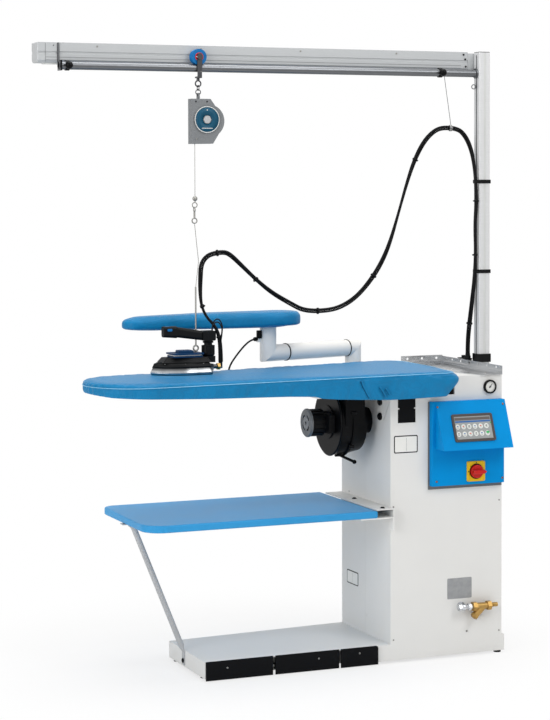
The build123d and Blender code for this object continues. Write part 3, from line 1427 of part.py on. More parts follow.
def thermostat_knob():
    """Ribbed ring round the rear column."""
    low, high = KNOB_Z
    knob = disc_z(low, high, COLUMN_X, PLANE_Y, KNOB_R)
    knob = fillet(knob.edges().sort_by(Axis.Z)[0], 6)
    knob -= disc_z(low - 1, high + 1, COLUMN_X, PLANE_Y, COLUMN_R + FIT)
    flutes = []
    for step in range(12):
        angle = radians(30 * step)
        x = COLUMN_X + KNOB_R * cos(angle)
        y = PLANE_Y + KNOB_R * sin(angle)
        flutes.append(disc_z(low + 6, high + 1, x, y, 2.2))
    return knob - flutes


def lifting_rod():
    """Eye on the heat shield, rod through the handle, thin wire, snap hook, link and stop ball."""
    y = PLANE_Y
    shield_top = BODY_TOP + 13
    eye = ring(ROD_X, y, shield_top + 13, 8, 2.6, (0, 1, 0))
    stud = disc_z(shield_top, shield_top + 6, ROD_X, y, 4)
    rod = disc_z(shield_top + 22, ROD_TOP, ROD_X, y, ROD_R)
    knee = (-577, y, 1284)
    wire = bar((ROD_X, y, ROD_TOP - 2), knee, WIRE_R) + Pos(*knee) * Sphere(WIRE_R)
    wire += bar(knee, (WIRE_X - 2, y, 1404), WIRE_R)
    snap = ring(WIRE_X - 2, y, 1412, 8, 2, (0, 1, 0))
    shank = disc_z(1420, 1440, WIRE_X - 2, y, 3)
    link = ring(WIRE_X - 2, y, 1447, 7, 1.8, (1, 0, 0))
    upper = ring(WIRE_X - 1, y, 1461, 8, 1.6, (0, 1, 0))
    ball = Pos(WIRE_X, y, STOP_BALL_Z) * Sphere(STOP_BALL_R)
    neck = disc_z(1467, STOP_BALL_Z, WIRE_X, y, 2)
    return group(eye + stud + rod + wire + snap + shank + link + upper + neck + ball)


def all_parts():
    parts = {
        "base_plinth": plinth(),
        "leveling_feet": feet(),
        "pedal_left": pedal(PEDAL_X[0]),
        "pedal_middle": pedal(PEDAL_X[1]),
        "pedal_cover": pedal_cover(),
        "cabinet_front_cover": front_cover(),
        "cabinet_rear_cover": rear_cover(),
        "cabinet_top_plate": top_plate(),
        "board_support": board_support(),
        "boiler_tank": tank(),
        "boiler_heater": heater(),
        "steam_solenoid": solenoid(),
        "feed_pump": pump(),
        "console_housing": console(),
        "display_unit": display(),
        "switch_plate": switch_plate(),
        "switch_knob": switch_knob(),
        "gauge_case": gauge_case(),
        "gauge_needle": gauge_needle(),
        "water_inlet_fitting": inlet_fitting(),
        "water_strainer": strainer(),
        "board_pan": board_pan(),
        "board_cover": board_cover(),
        "fan_volute": volute(),
        "fan_impeller": impeller(),
        "fan_motor": motor(),
        "fan_end_cap": fan_cap(),
        "fan_terminal_box": terminal_box(),
        "shelf_panel": shelf_panel(),
        "shelf_bracket": shelf_bracket(),
        "shelf_strut": shelf_strut(),
        "hex_bolts": hex_bolts(),
        "sleeve_socket": sleeve_socket(),
        "arm_base_elbow": base_elbow(),
        "arm_tube": arm_tube(),
        "arm_riser_elbow": riser_elbow(),
        "sleeve_form": sleeve_form(),
        "iron_rest": iron_rest(),
        "gantry_post": post(),
        "post_clamp": post_clamp(),
        "lamp_housing": boom(),
        "trolley_rail": rail(),
        "rail_stops": rail_stops(),
        "hose_hanger": hose_hanger(),
        "trolley_wheel": wheel(),
        "trolley_hanger": trolley_hanger(),
        "balancer_housing": balancer(),
        "lift_wire": lift_wire(),
        "iron_soleplate": soleplate(),
        "iron_body": iron_body(),
        "iron_heat_shield": heat_shield(),
        "iron_handle": handle(),
        "iron_button": button(),
        "iron_knob": thermostat_knob(),
        "lifting_rod": lifting_rod(),
        "hose_iron": route_tube(HOSE_IRON_ROUTE, HOSE_R, "hose_iron"),
        "hose_front": route_tube(HOSE_FRONT_ROUTE, HOSE_R, "hose_front"),
        "hose_sag": route_tube(HOSE_SAG_ROUTE, HOSE_R, "hose_sag"),
        "hose_post": route_tube(HOSE_POST_ROUTE, HOSE_R, "hose_post"),
        "sleeve_cable": route_tube(SLEEVE_CABLE_ROUTE, CABLE_R, "sleeve_cable"),
    }
    return parts


CORDS = ("hose_iron", "hose_front", "hose_sag", "hose_post", "sleeve_cable")


def base_centre(parts):
    """The middle of the model's base, measured without the cords."""
    boxes = [shape.bounding_box() for name, shape in parts.items() if name not in CORDS]
    x = (min(b.min.X for b in boxes) + max(b.max.X for b in boxes)) / 2
    y = (min(b.min.Y for b in boxes) + max(b.max.Y for b in boxes)) / 2
    return x, y, min(b.min.Z for b in boxes)


def main():
    parts = all_parts()
    x, y, z = base_centre(parts)
    print("base centre", x, y, z)
    os.makedirs("parts", exist_ok=True)
    for name, shape in parts.items():
        export_step(Pos(-x, -y, -z) * shape, f"parts/{name}.step")


main()
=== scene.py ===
import bpy
import bmesh
import math
from mathutils import Matrix, Vector, noise


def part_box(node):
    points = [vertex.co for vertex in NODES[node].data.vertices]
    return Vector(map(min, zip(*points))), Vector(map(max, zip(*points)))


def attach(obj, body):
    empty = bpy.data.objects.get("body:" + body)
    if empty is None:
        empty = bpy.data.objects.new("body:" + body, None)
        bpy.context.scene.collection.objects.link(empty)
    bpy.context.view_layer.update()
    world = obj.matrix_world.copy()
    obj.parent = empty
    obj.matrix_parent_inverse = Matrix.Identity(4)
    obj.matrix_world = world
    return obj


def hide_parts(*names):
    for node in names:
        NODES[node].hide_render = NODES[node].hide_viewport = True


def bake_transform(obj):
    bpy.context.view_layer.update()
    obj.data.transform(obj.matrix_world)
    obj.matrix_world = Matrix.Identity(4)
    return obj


# Ironing table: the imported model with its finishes, cloth, hoses and small details.
# Places are written in millimetres from the cabinet's front left corner on the floor.

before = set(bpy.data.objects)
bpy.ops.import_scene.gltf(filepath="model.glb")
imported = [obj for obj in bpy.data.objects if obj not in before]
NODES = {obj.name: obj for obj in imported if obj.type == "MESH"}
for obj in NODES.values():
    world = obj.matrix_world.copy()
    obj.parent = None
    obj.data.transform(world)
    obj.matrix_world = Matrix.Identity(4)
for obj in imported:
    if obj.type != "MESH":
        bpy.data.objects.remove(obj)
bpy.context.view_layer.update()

PLINTH_H = 60
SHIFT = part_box("cabinet_front_cover")[0] * 1000 - Vector((0, 0, PLINTH_H))

# The upright plane that the iron, the trolley and the hoses hang in, and the top of the padded cover
PLANE_Y = 187
BOARD_TOP = 932

FRONT = (0, -1, 0)
LEFT = (-1, 0, 0)
UP = (0, 0, 1)


def at(x, y, z):
    """A place in metres in the model's own frame."""
    return (Vector((x, y, z)) + SHIFT) / 1000


def linear(c):
    return tuple((v / 12.92 if v <= 0.04045 else ((v + 0.055) / 1.055) ** 2.4) for v in c)


def rgb(r, g, b):
    """A colour from its 8-bit screen values."""
    return linear((r / 255, g / 255, b / 255))


# Shader nodes


def fill(tree, node, values):
    """Sets a node's inputs: a socket is linked, anything else is a value."""
    for key, value in values.items():
        if isinstance(value, bpy.types.NodeSocket):
            tree.links.new(value, node.inputs[key])
        else:
            node.inputs[key].default_value = value


def shade(tree, kind, values, output=0, **settings):
    """Adds a shader node with its settings and inputs, and returns one of its outputs."""
    node = tree.nodes.new("ShaderNode" + kind)
    for key, value in settings.items():
        setattr(node, key, value)
    fill(tree, node, values)
    return node.outputs[output]


def maths(tree, operation, a, b):
    return shade(tree, "Math", {0: a, 1: b}, operation=operation)


def map_range(tree, value, from_min, from_max, to_min, to_max, **settings):
    values = {"Value": value, "From Min": from_min, "From Max": from_max, "To Min": to_min, "To Max": to_max}
    return shade(tree, "MapRange", values, **settings)


def tinted(tree, colour, value):
    """A colour times a value."""
    return shade(tree, "Mix", {0: 1, 6: colour, 7: value}, 2, data_type="RGBA", blend_type="MULTIPLY")


def colour_ramp(tree, factor, stops):
    """A ramp through (position, colour) stops."""
    node = tree.nodes.new("ShaderNodeValToRGB")
    elements = node.color_ramp.elements
    while len(elements) < len(stops):
        elements.new(0.5)
    for element, (position, colour) in zip(elements, stops):
        element.position = position
        element.color = (*colour, 1)
    fill(tree, node, {"Fac": factor})
    return node.outputs["Color"]


def wave(tree, place, axis, pitch):
    """Threads across one axis, with their pitch in metres."""
    values = {"Scale": 2 * math.pi / pitch / 20, "Distortion": 0.4, "Vector": place}
    return shade(tree, "TexWave", values, "Fac", wave_type="BANDS", bands_direction=axis)


def banded(tree, place, colour, bands):
    """The colour darkened by height, used as painted shade and reflection: bands holds (z in millimetres,
    share of the colour).
    """
    low, high = bands[0][0], bands[-1][0]
    height = shade(tree, "SeparateXYZ", {0: place}, "Z")
    position = map_range(tree, height, low / 1000, high / 1000, 0, 1)
    stops = [((z - low) / (high - low), (share, share, share)) for z, share in bands]
    return tinted(tree, colour, colour_ramp(tree, position, stops))


# Materials


def material(name, colour, rough=0.5, metal=0.0, vary=0.05, vary_scale=9.0, rough_vary=0.06, bump=0.0,
             bump_scale=900.0, stretch=(1, 1, 1), weave=0.0, weave_pitch=0.0012, wear=0.0, sheen=0.0,
             alpha=1.0, spec=0.5, bands=None):
    """A finish with soft variation, and by choice relief, threads, worn edges or painted shade and reflection
    by height.
    """
    mat = bpy.data.materials.new(name)
    mat.use_nodes = True
    tree = mat.node_tree
    shader = tree.nodes["Principled BSDF"]
    place = shade(tree, "TexCoord", {}, "Object")
    spot = shade(tree, "Mapping", {"Scale": stretch, "Vector": place})
    broad = shade(tree, "TexNoise", {"Scale": vary_scale, "Detail": 5, "Vector": spot}, "Fac")
    low = [max(0, c * (1 - vary)) for c in colour]
    high = [min(1, c * (1 + vary)) for c in colour]
    out = colour_ramp(tree, broad, ((0.3, low), (0.7, high)))
    height = shade(tree, "TexNoise", {"Scale": bump_scale, "Detail": 3, "Vector": spot}, "Fac")
    if weave:
        warp, weft, cross = [wave(tree, place, axis, weave_pitch) for axis in "XYZ"]
        height = maths(tree, "ADD", maths(tree, "ADD", warp, weft), cross)
        out = tinted(tree, out, map_range(tree, height, 0.6, 2.4, 1 - weave, 1 + 0.35 * weave))
    if wear:
        edge = shade(tree, "NewGeometry", {}, "Pointiness")
        worn = map_range(tree, edge, 0.59, 0.62, 0, wear)
        bare = (*[min(1, c * 0.5 + 0.35) for c in colour], 1)
        out = shade(tree, "Mix", {0: worn, 6: out, 7: bare}, 2, data_type="RGBA")
    if bands:
        out = banded(tree, place, out, bands)
    gloss = map_range(tree, broad, 0, 1, max(0.02, rough - rough_vary), min(1, rough + rough_vary))
    fill(tree, shader, {"Metallic": metal, "Sheen Weight": sheen, "Sheen Roughness": 0.6, "Alpha": alpha,
                        "Specular IOR Level": spec, "Base Color": out, "Roughness": gloss})
    if bump or weave:
        relief = {"Strength": bump or 0.25, "Distance": 0.0004, "Height": height}
        fill(tree, shader, {"Normal": shade(tree, "Bump", relief)})
    return mat


M = {
    "white": material("white_powder_coat", rgb(224, 224, 222), 0.45, vary=0.012, bump=0.12, spec=0.3),
    "blue_paint": material("blue_powder_coat", rgb(0, 138, 208), 0.5, bump=0.12, spec=0.06),
    "blue_cloth": material("blue_cover_cloth", rgb(0, 120, 173), 0.4, weave=0.1, vary=0.07, vary_scale=14,
                           sheen=0.03, spec=0.2),
    # Pale blue for the cord on the cover's shoulder: a painted highlight along the shoulder.
    "painted_highlight_blue": material("blue_cord_painted_highlight", rgb(128, 192, 226), 0.3, vary=0.16, spec=0.45),
    # Dark blue for the cords along the flap's edge and the folds: painted shade in the creases.
    "crease_shade_blue": material("blue_crease_painted_shade", rgb(4, 70, 108), 0.6, spec=0.2),
    "shelf_cloth": material("blue_shelf_cloth", rgb(28, 148, 210), 0.5, weave=0.1, weave_pitch=0.0014,
                            vary=0.05, vary_scale=11, sheen=0.1, spec=0.4),
    "black_paint": material("black_enamel", rgb(8, 9, 12), 0.55, bump=0.15, bump_scale=700, spec=0.1),
    "black": material("black_moulding", rgb(8, 9, 11), 0.48, bump=0.25, bump_scale=1200, spec=0.16),
    "gloss_black": material("gloss_black_moulding", rgb(6, 7, 9), 0.34, bump=0.05, bump_scale=500, spec=0.1),
    "dark_grey": material("dark_grey_cast", rgb(104, 107, 110), 0.45, metal=0.3, bump=0.3, wear=0.35),
    "grey": material("grey_moulding", rgb(176, 178, 180), 0.45, bump=0.12, bump_scale=800, spec=0.35),
    "balancer_grey": material("balancer_casting", rgb(122, 125, 128), 0.5, bump=0.12, bump_scale=800,
                              spec=0.3),
    "pale_grey": material("pale_grey_moulding", rgb(206, 208, 206), 0.38, bump=0.08, bump_scale=800,
                          spec=0.35),
    "bezel": material("dark_bezel", rgb(58, 51, 48), 0.35, bump=0.08, bump_scale=800, spec=0.3),
    "tube_white": material("white_tube_enamel", rgb(240, 238, 234), 0.36, vary=0.02, bump=0.06,
                           bump_scale=600, spec=0.3),
    # Strong light and dark streaks along the grain: brushed grain, made strong as painted reflection streaks.
    "steel": material("brushed_stainless", rgb(204, 205, 206), 0.26, metal=1, stretch=(4, 220, 220),
                      vary=0.45, vary_scale=6, rough_vary=0.1, bump=0.1, bump_scale=24),
    "chrome": material("polished_chrome", rgb(205, 207, 210), 0.12, metal=1, vary=0.04, rough_vary=0.03,
                       bump=0.02, bump_scale=400),
    # The skirt's strong stretched mottling and its dark and light bands by height are painted reflections in
    # the chrome.
    "sole": material("chrome_skirt", rgb(160, 162, 164), 0.22, metal=1, vary=0.5, vary_scale=13,
                     stretch=(1, 1, 0.2), rough_vary=0.03,
                     bands=((932, 0.3), (936, 0.9), (944, 1.0), (949, 0.45), (953, 0.16), (967, 0.1))),
    "zinc": material("zinc_plate", rgb(150, 149, 145), 0.36, metal=1, bump=0.1, wear=0.3),
    "dark_zinc": material("dark_zinc_plate", rgb(74, 75, 78), 0.42, metal=0.8, bump=0.15, wear=0.4),
    "rail": material("drawn_steel_rail", rgb(112, 114, 117), 0.32, metal=0.9, stretch=(2, 90, 90), vary=0.1,
                     vary_scale=8, bump=0.06, bump_scale=30),
    "brass": material("rough_brass", rgb(176, 142, 84), 0.36, metal=1, bump=0.35, bump_scale=500, vary=0.12,
                      vary_scale=60),
    "copper": material("copper_screw", rgb(170, 110, 74), 0.3, metal=1),
    "aluminium": material("anodised_profile", rgb(212, 213, 214), 0.4, metal=0.15, stretch=(3, 3, 120),
                          vary=0.05, bump=0.06, bump_scale=30, spec=0.4),
    "boom": material("anodised_housing", rgb(184, 187, 189), 0.42, metal=0.15, stretch=(2, 140, 140),
                     vary=0.04, bump=0.06, bump_scale=26, spec=0.35),
    "rubber": material("black_hose_rubber", rgb(8, 8, 10), 0.55, bump=0.5, bump_scale=1500, vary=0.2,
                       vary_scale=70, spec=0.14),
    "cable": material("black_cable_sheath", rgb(7, 7, 9), 0.4, bump=0.15, vary=0.15, spec=0.18),
    "yellow": material("yellow_plate", rgb(226, 184, 20), 0.4, bump=0.08, spec=0.25),
    "red": material("red_knob", rgb(196, 24, 20), 0.35, bump=0.04, spec=0.3, bump_scale=400),
    "blue_plastic": material("blue_moulding", rgb(0, 104, 168), 0.42, bump=0.08, bump_scale=700, spec=0.25),
    "navy": material("heat_shield_board", rgb(6, 50, 88), 0.45, bump=0.2, spec=0.14),
    "dial_blue": material("balancer_disc_blue", rgb(10, 74, 100), 0.45, bump=0.08, bump_scale=700, spec=0.25),
    "off_white": material("matt_white_plate", rgb(232, 232, 228), 0.5, bump=0.05, bump_scale=500, spec=0.3),
    "label": material("bare_label_plate", rgb(150, 152, 154), 0.45, vary=0.1, vary_scale=60, spec=0.3),
    "screen": material("display_glass", rgb(146, 150, 150), 0.25, vary=0.05, spec=0.3),
    "screen_dark": material("display_band", rgb(84, 76, 72), 0.3, spec=0.3),
    "icon": material("pale_icon", rgb(214, 217, 214), 0.45, spec=0.25),
    "icon_blue": material("blue_icon", rgb(26, 92, 160), 0.35, spec=0.25),
    "icon_red": material("red_icon", rgb(196, 60, 34), 0.35, spec=0.25),
    "icon_green": material("green_icon", rgb(40, 160, 84), 0.35, spec=0.25),
    "ink": material("dark_print", rgb(38, 39, 42), 0.5, spec=0.25),
    # Grey for the console's gaskets and the boom's cap line, and also painted shade in the boom's grooves and
    # the post's side slot.
    "gasket_and_groove_shade": material("grey_gasket_and_groove_shade", rgb(112, 114, 116), 0.7, bump=0.3, spec=0.2),
    "lamp": material("lamp_cover", rgb(222, 224, 222), 0.35, bump=0.05, bump_scale=300, spec=0.3),
    "glass": material("gauge_glass", (0.9, 0.92, 0.92), 0.04, alpha=0.07, vary=0.01, rough_vary=0.0,
                      spec=0.2),
}

# Each finish and its nodes
FINISH = {
    "white": "base_plinth cabinet_front_cover cabinet_rear_cover cabinet_top_plate board_pan shelf_bracket",
    "black": "leveling_feet fan_impeller fan_motor fan_terminal_box post_clamp iron_body iron_handle "
             "iron_knob",
    "black_paint": "pedal_left pedal_middle pedal_cover board_support feed_pump hex_bolts",
    "steel": "boiler_tank iron_rest",
    "zinc": "boiler_heater lifting_rod lift_wire",
    "brass": "steam_solenoid water_strainer",
    "blue_paint": "console_housing",
    "bezel": "display_unit",
    "yellow": "switch_plate",
    "red": "switch_knob",
    "gloss_black": "gauge_case fan_volute rail_stops",
    "ink": "gauge_needle",
    "chrome": "water_inlet_fitting",
    "dark_grey": "fan_end_cap",
    "shelf_cloth": "shelf_panel",
    "grey": "shelf_strut",
    "tube_white": "sleeve_socket arm_base_elbow arm_tube arm_riser_elbow",
    "aluminium": "gantry_post",
    "boom": "lamp_housing",
    "rail": "trolley_rail",
    "dark_zinc": "hose_hanger trolley_hanger",
    "blue_plastic": "trolley_wheel iron_button",
    "balancer_grey": "balancer_housing",
    "sole": "iron_soleplate",
    "navy": "iron_heat_shield",
    "blue_cloth": "board_cover sleeve_form",
    "rubber": "hose_iron hose_front hose_sag hose_post",
    "cable": "sleeve_cable",
}

# Each bevel in millimetres and its nodes
BEVELS = {
    1.2: "console_housing iron_body",
    0.8: "cabinet_front_cover cabinet_rear_cover base_plinth lamp_housing shelf_bracket fan_volute "
         "iron_handle",
    0.6: "cabinet_top_plate pedal_left pedal_middle pedal_cover iron_heat_shield water_strainer "
         "water_inlet_fitting balancer_housing",
    0.3: "gantry_post",
    0.4: "iron_rest",
    0.5: "fan_motor fan_end_cap iron_soleplate",
}


def round_edges(obj, width, angle):
    """A small bevel, in millimetres, on the edges sharper than an angle."""
    bevel = obj.modifiers.new("edges", "BEVEL")
    bevel.width = width / 1000
    bevel.segments = 2
    bevel.limit_method = "ANGLE"
    bevel.angle_limit = math.radians(angle)


for finish, nodes in FINISH.items():
    for node in nodes.split():
        obj = NODES[node]
        if not obj.material_slots:
            obj.data.materials.append(M[finish])
        for slot in obj.material_slots:
            slot.material = M[finish]

for width, nodes in BEVELS.items():
    for node in nodes.split():
        round_edges(NODES[node], width, 35)


# Mesh building


def added(name, data):
    """A new object in the scene."""
    obj = bpy.data.objects.new(name, data)
    bpy.context.scene.collection.objects.link(obj)
    return obj


def piece(name, verts, faces, mat, body="stand", smooth=False, bevel=0):
    """A mesh piece from places in millimetres, riding on a body."""
    mesh = bpy.data.meshes.new(name)
    mesh.from_pydata([tuple(at(*v)) for v in verts], [], faces)
    mesh.update()
    bm = bmesh.new()
    bm.from_mesh(mesh)
    bmesh.ops.recalc_face_normals(bm, faces=bm.faces)
    bmesh.ops.triangulate(bm, faces=[f for f in bm.faces if len(f.verts) > 60])
    bm.to_mesh(mesh)
    bm.free()
    obj = added(name, mesh)
    mesh.materials.append(M[mat])
    for polygon in mesh.polygons:
        polygon.use_smooth = smooth
    if bevel:
        round_edges(obj, bevel, 30)
    if body:
        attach(obj, body)
    return obj


def sides(n, rows):
    """Quads between closed rows of n points."""
    faces = []
    for r in range(rows - 1):
        for i in range(n):
            j = (i + 1) % n
            faces.append((r * n + i, r * n + j, (r + 1) * n + j, (r + 1) * n + i))
    return faces


def ring_of_rows(n, rows):
    """Quads between closed rows of n points, with the last row joined to the first."""
    last = (rows - 1) * n
    return sides(n, rows) + [(last + i, last + (i + 1) % n, (i + 1) % n, i) for i in range(n)]


def axes(normal, up=None):
    """Two directions square to a normal, and the normal."""
    n = Vector(normal).normalized()
    guide = Vector(up) if up else Vector(UP if abs(n.z) < 0.9 else (1, 0, 0))
    v = (guide - n * guide.dot(n)).normalized()
    return v.cross(n), v, n


def prism(name, outline, origin, normal, depth, mat, body="stand", up=None, bevel=0):
    """A flat outline in (right, up) millimetres, raised along its normal."""
    u, v, n = axes(normal, up)
    origin = Vector(origin)
    count = len(outline)
    verts = [origin + u * a + v * b for a, b in outline]
    verts += [origin + u * a + v * b + n * depth for a, b in outline]
    faces = sides(count, 2) + [tuple(range(count))[::-1], tuple(range(count, 2 * count))]
    return piece(name, verts, faces, mat, body, bevel=bevel)


def round_box(w, h, r, steps=5):
    """A rectangle with round corners, as (right, up) points about its middle."""
    r = min(r, w / 2 - 0.01, h / 2 - 0.01)
    points = []
    for sx, sy, start in ((1, 1, 0), (-1, 1, 90), (-1, -1, 180), (1, -1, 270)):
        for i in range(steps + 1):
            a = math.radians(start + 90 * i / steps)
            points.append((sx * (w / 2 - r) + r * math.cos(a), sy * (h / 2 - r) + r * math.sin(a)))
    return points


def oval(w, h, steps):
    angles = [2 * math.pi * i / steps for i in range(steps)]
    return [(w / 2 * math.cos(a), h / 2 * math.sin(a)) for a in angles]


def lathe(name, profile, origin, axis, mat, body="stand", steps=32, smooth=True, squash=(1, 1), up=None):
    """A closed ring of (radius, height) points turned about an axis."""
    u, v, n = axes(axis, up)
    origin = Vector(origin)
    verts = []
    for radius, height in profile:
        for i in range(steps):
            a = 2 * math.pi * i / steps
            side = u * squash[0] * math.cos(a) + v * squash[1] * math.sin(a)
            verts.append(origin + side * radius + n * height)
    return piece(name, verts, ring_of_rows(steps, len(profile)), mat, body, smooth=smooth)


def section(inner, outer, low, high):
    """The profile of a flat ring for the lathe."""
    return [(inner, low), (outer, low), (outer, high), (inner, high)]


def disc(name, radius, origin, normal, depth, mat, body="stand", bevel=0.3):
    return prism(name, oval(2 * radius, 2 * radius, 28), origin, normal, depth, mat, body, bevel=bevel)


def screw(name, origin, normal, radius, mat="zinc", body="stand", cross=True):
    """A domed screw head, with a cross slot."""
    profile = [(0.01, 0), (radius, 0), (radius, 0.35 * radius), (0.72 * radius, 0.62 * radius),
               (0.01, 0.74 * radius)]
    lathe(name, profile, origin, normal, mat, body, steps=20)
    if cross:
        top = Vector(origin) + axes(normal)[2] * (0.66 * radius)
        for part, w, h in (("slot", 1.2, 0.22), ("cross", 0.22, 1.2)):
            outline = round_box(w * radius, h * radius, 0.05)
            prism(f"{name}_{part}", outline, top, normal, 0.12 * radius, "ink", body)


def path_points(route):
    """The smooth line through a route, read from its NURBS spline, in millimetres."""
    curve = bpy.data.curves.new("line", "CURVE")
    curve.dimensions = "3D"
    curve.resolution_u = 10
    spline = curve.splines.new("NURBS")
    spline.points.add(len(route) - 1)
    for point, place in zip(spline.points, route):
        point.co = (*place, 1)
    spline.order_u = 3
    spline.use_endpoint_u = True
    holder = added("line", curve)
    mesh = bpy.data.meshes.new_from_object(holder.evaluated_get(bpy.context.evaluated_depsgraph_get()))
    points = [v.co.copy() for v in mesh.vertices]
    bpy.data.meshes.remove(mesh)
    bpy.data.objects.remove(holder)
    bpy.data.curves.remove(curve)
    return points


def even(points, step):
    """The same line with its points a steady step apart, and its length."""
    lengths = [0]
    for a, b in zip(points, points[1:]):
        lengths.append(lengths[-1] + (b - a).length)
    total = lengths[-1]
    count = max(2, round(total / step))
    result, k = [], 0
    for i in range(count + 1):
        s = total * i / count
        while k < len(points) - 2 and lengths[k + 1] < s:
            k += 1
        span = max(1e-9, lengths[k + 1] - lengths[k])
        result.append(points[k].lerp(points[k + 1], (s - lengths[k]) / span))
    return result, total


def heading(line, i):
    """The direction of a line at one of its points."""
    return (line[min(i + 1, len(line) - 1)] - line[max(i - 1, 0)]).normalized()


def tube(name, line, radius, mat, body="stand", ring=14, ribs=0.0):
    """A round tube along a line, drawn in by the ribs' depth at every second point."""
    n = len(line)
    verts = []
    tangent = (line[1] - line[0]).normalized()
    u = axes(tangent, (0, 1, 0.01) if abs(tangent.y) < 0.9 else UP)[0]
    for i, p in enumerate(line):
        t = heading(line, i)
        u = (u - t * u.dot(t)).normalized()
        v = t.cross(u)
        r = radius - ribs if i % 2 else radius
        for k in range(ring):
            a = 2 * math.pi * k / ring
            verts.append(p + (u * math.cos(a) + v * math.sin(a)) * r)
    faces = sides(ring, n) + [tuple(range(ring))[::-1], tuple(range((n - 1) * ring, n * ring))]
    return piece(name, verts, faces, mat, body, smooth=True)


def offset_route(route, distance, angles):
    """A strand beside a route, at a distance and an angle round it for each point."""
    result = []
    points = [Vector(p) for p in route]
    for i, (p, angle) in enumerate(zip(points, angles)):
        t = heading(points, i)
        side = t.cross(Vector((0, 1, 0))).normalized()
        other = t.cross(side)
        a = math.radians(angle)
        result.append(tuple(p + (side * math.cos(a) + other * math.sin(a)) * distance))
    return result


# Camera, light and floor

# The photo's camera as it was fitted: its place, its turn in degrees, its lens and its shift
CAMERA_PLACE = (-2852.7, -5931.1, 1534)
CAMERA_YAW = 22.51
CAMERA_DOWN = 2.16
CAMERA_ROLL = -0.15
CAMERA_LENS = 104.05
CAMERA_SHIFT = -100 / 720

# Strength of the world's light on surfaces, and how far reflections see plain white in its place
WORLD_STRENGTH = 0.52
WHITE_IN_GLOSS = 0.8

# The floor's share of white grows from FLOOR_WHITE to 1 between these distances, in metres
FLOOR_FADE = (0.4, 1.3)
FLOOR_WHITE = 0.7


def camera():
    yaw, pitch, roll = math.radians(CAMERA_YAW), math.radians(CAMERA_DOWN), math.radians(CAMERA_ROLL)
    forward = Vector((math.sin(yaw) * math.cos(pitch), math.cos(yaw) * math.cos(pitch), -math.sin(pitch)))
    right0 = Vector((math.cos(yaw), -math.sin(yaw), 0))
    up0 = right0.cross(forward)
    right = right0 * math.cos(roll) + up0 * math.sin(roll)
    up = up0 * math.cos(roll) - right0 * math.sin(roll)
    data = bpy.data.cameras.new("camera")
    data.sensor_width = 36
    data.lens = CAMERA_LENS
    data.shift_y = CAMERA_SHIFT
    data.clip_start = 0.1
    data.clip_end = 60
    cam = added("camera", data)
    turn = Matrix((right, up, -forward)).transposed().to_4x4()
    cam.matrix_world = Matrix.Translation(at(*CAMERA_PLACE)) @ turn
    bpy.context.scene.camera = cam


def lamp(name, place, target, size, power):
    data = bpy.data.lights.new(name, "AREA")
    data.shape = "RECTANGLE"
    data.size, data.size_y = size
    data.energy = power
    obj = added(name, data)
    start, end = at(*place), at(*target)
    turn = (end - start).to_track_quat("-Z", "Y").to_matrix().to_4x4()
    obj.matrix_world = Matrix.Translation(start) @ turn


def background():
    """Warm light on surfaces, and plain white for the camera and most of a reflection."""
    world = bpy.data.worlds.new("studio")
    bpy.context.scene.world = world
    world.use_nodes = True
    tree = world.node_tree
    tree.nodes.clear()
    soft = shade(tree, "Background", {"Color": (1, 0.985, 0.965, 1), "Strength": WORLD_STRENGTH})
    plain = shade(tree, "Background", {"Color": (1, 1, 1, 1), "Strength": 1})
    rays = tree.nodes.new("ShaderNodeLightPath").outputs
    seen = maths(tree, "ADD", rays["Is Camera Ray"], rays["Is Transmission Ray"])
    shine = maths(tree, "MULTIPLY", rays["Is Glossy Ray"], WHITE_IN_GLOSS)
    light = shade(tree, "MixShader", {0: maths(tree, "ADD", seen, shine), 1: soft, 2: plain})
    fill(tree, tree.nodes.new("ShaderNodeOutputWorld"), {"Surface": light})


def floor():
    """A pale floor that keeps the machine's shadow and runs out into the white background."""
    bm = bmesh.new()
    bmesh.ops.create_circle(bm, cap_ends=True, radius=30, segments=96)
    mesh = bpy.data.meshes.new("floor")
    bm.to_mesh(mesh)
    bm.free()
    obj = added("floor", mesh)
    mat = bpy.data.materials.new("pale_floor")
    mat.use_nodes = True
    tree = mat.node_tree
    shader = tree.nodes["Principled BSDF"]
    fill(tree, shader, {"Base Color": (0.86, 0.86, 0.86, 1), "Roughness": 0.7})
    white = shade(tree, "Emission", {"Strength": 1})
    place = shade(tree, "TexCoord", {}, "Object")
    distance = shade(tree, "VectorMath", {0: place}, "Value", operation="LENGTH")
    spread = map_range(tree, distance, *FLOOR_FADE, FLOOR_WHITE, 1, interpolation_type="SMOOTHSTEP")
    seen = maths(tree, "MULTIPLY", spread, shade(tree, "LightPath", {}, "Is Camera Ray"))
    mix = shade(tree, "MixShader", {0: seen, 1: shader.outputs[0], 2: white})
    fill(tree, tree.nodes["Material Output"], {"Surface": mix})
    mesh.materials.append(mat)


camera()
background()
floor()
lamp("key", (1500, -3300, 4100), (-100, 100, 850), (2.0, 2.0), 70)
lamp("side", (-4200, -1900, 2100), (-300, 150, 800), (2.4, 2.4), 74)
lamp("top", (-300, 200, 4300), (-300, 150, 900), (3.0, 2.0), 80)
scene = bpy.context.scene
scene.view_settings.view_transform = "Standard"


# Hoses: each route is written in millimetres, with the same points as the model's own tube


def hung(*places):
    """A route in the upright plane of the hoses, from (x, z) places."""
    return [(x, PLANE_Y, z) for x, z in places]


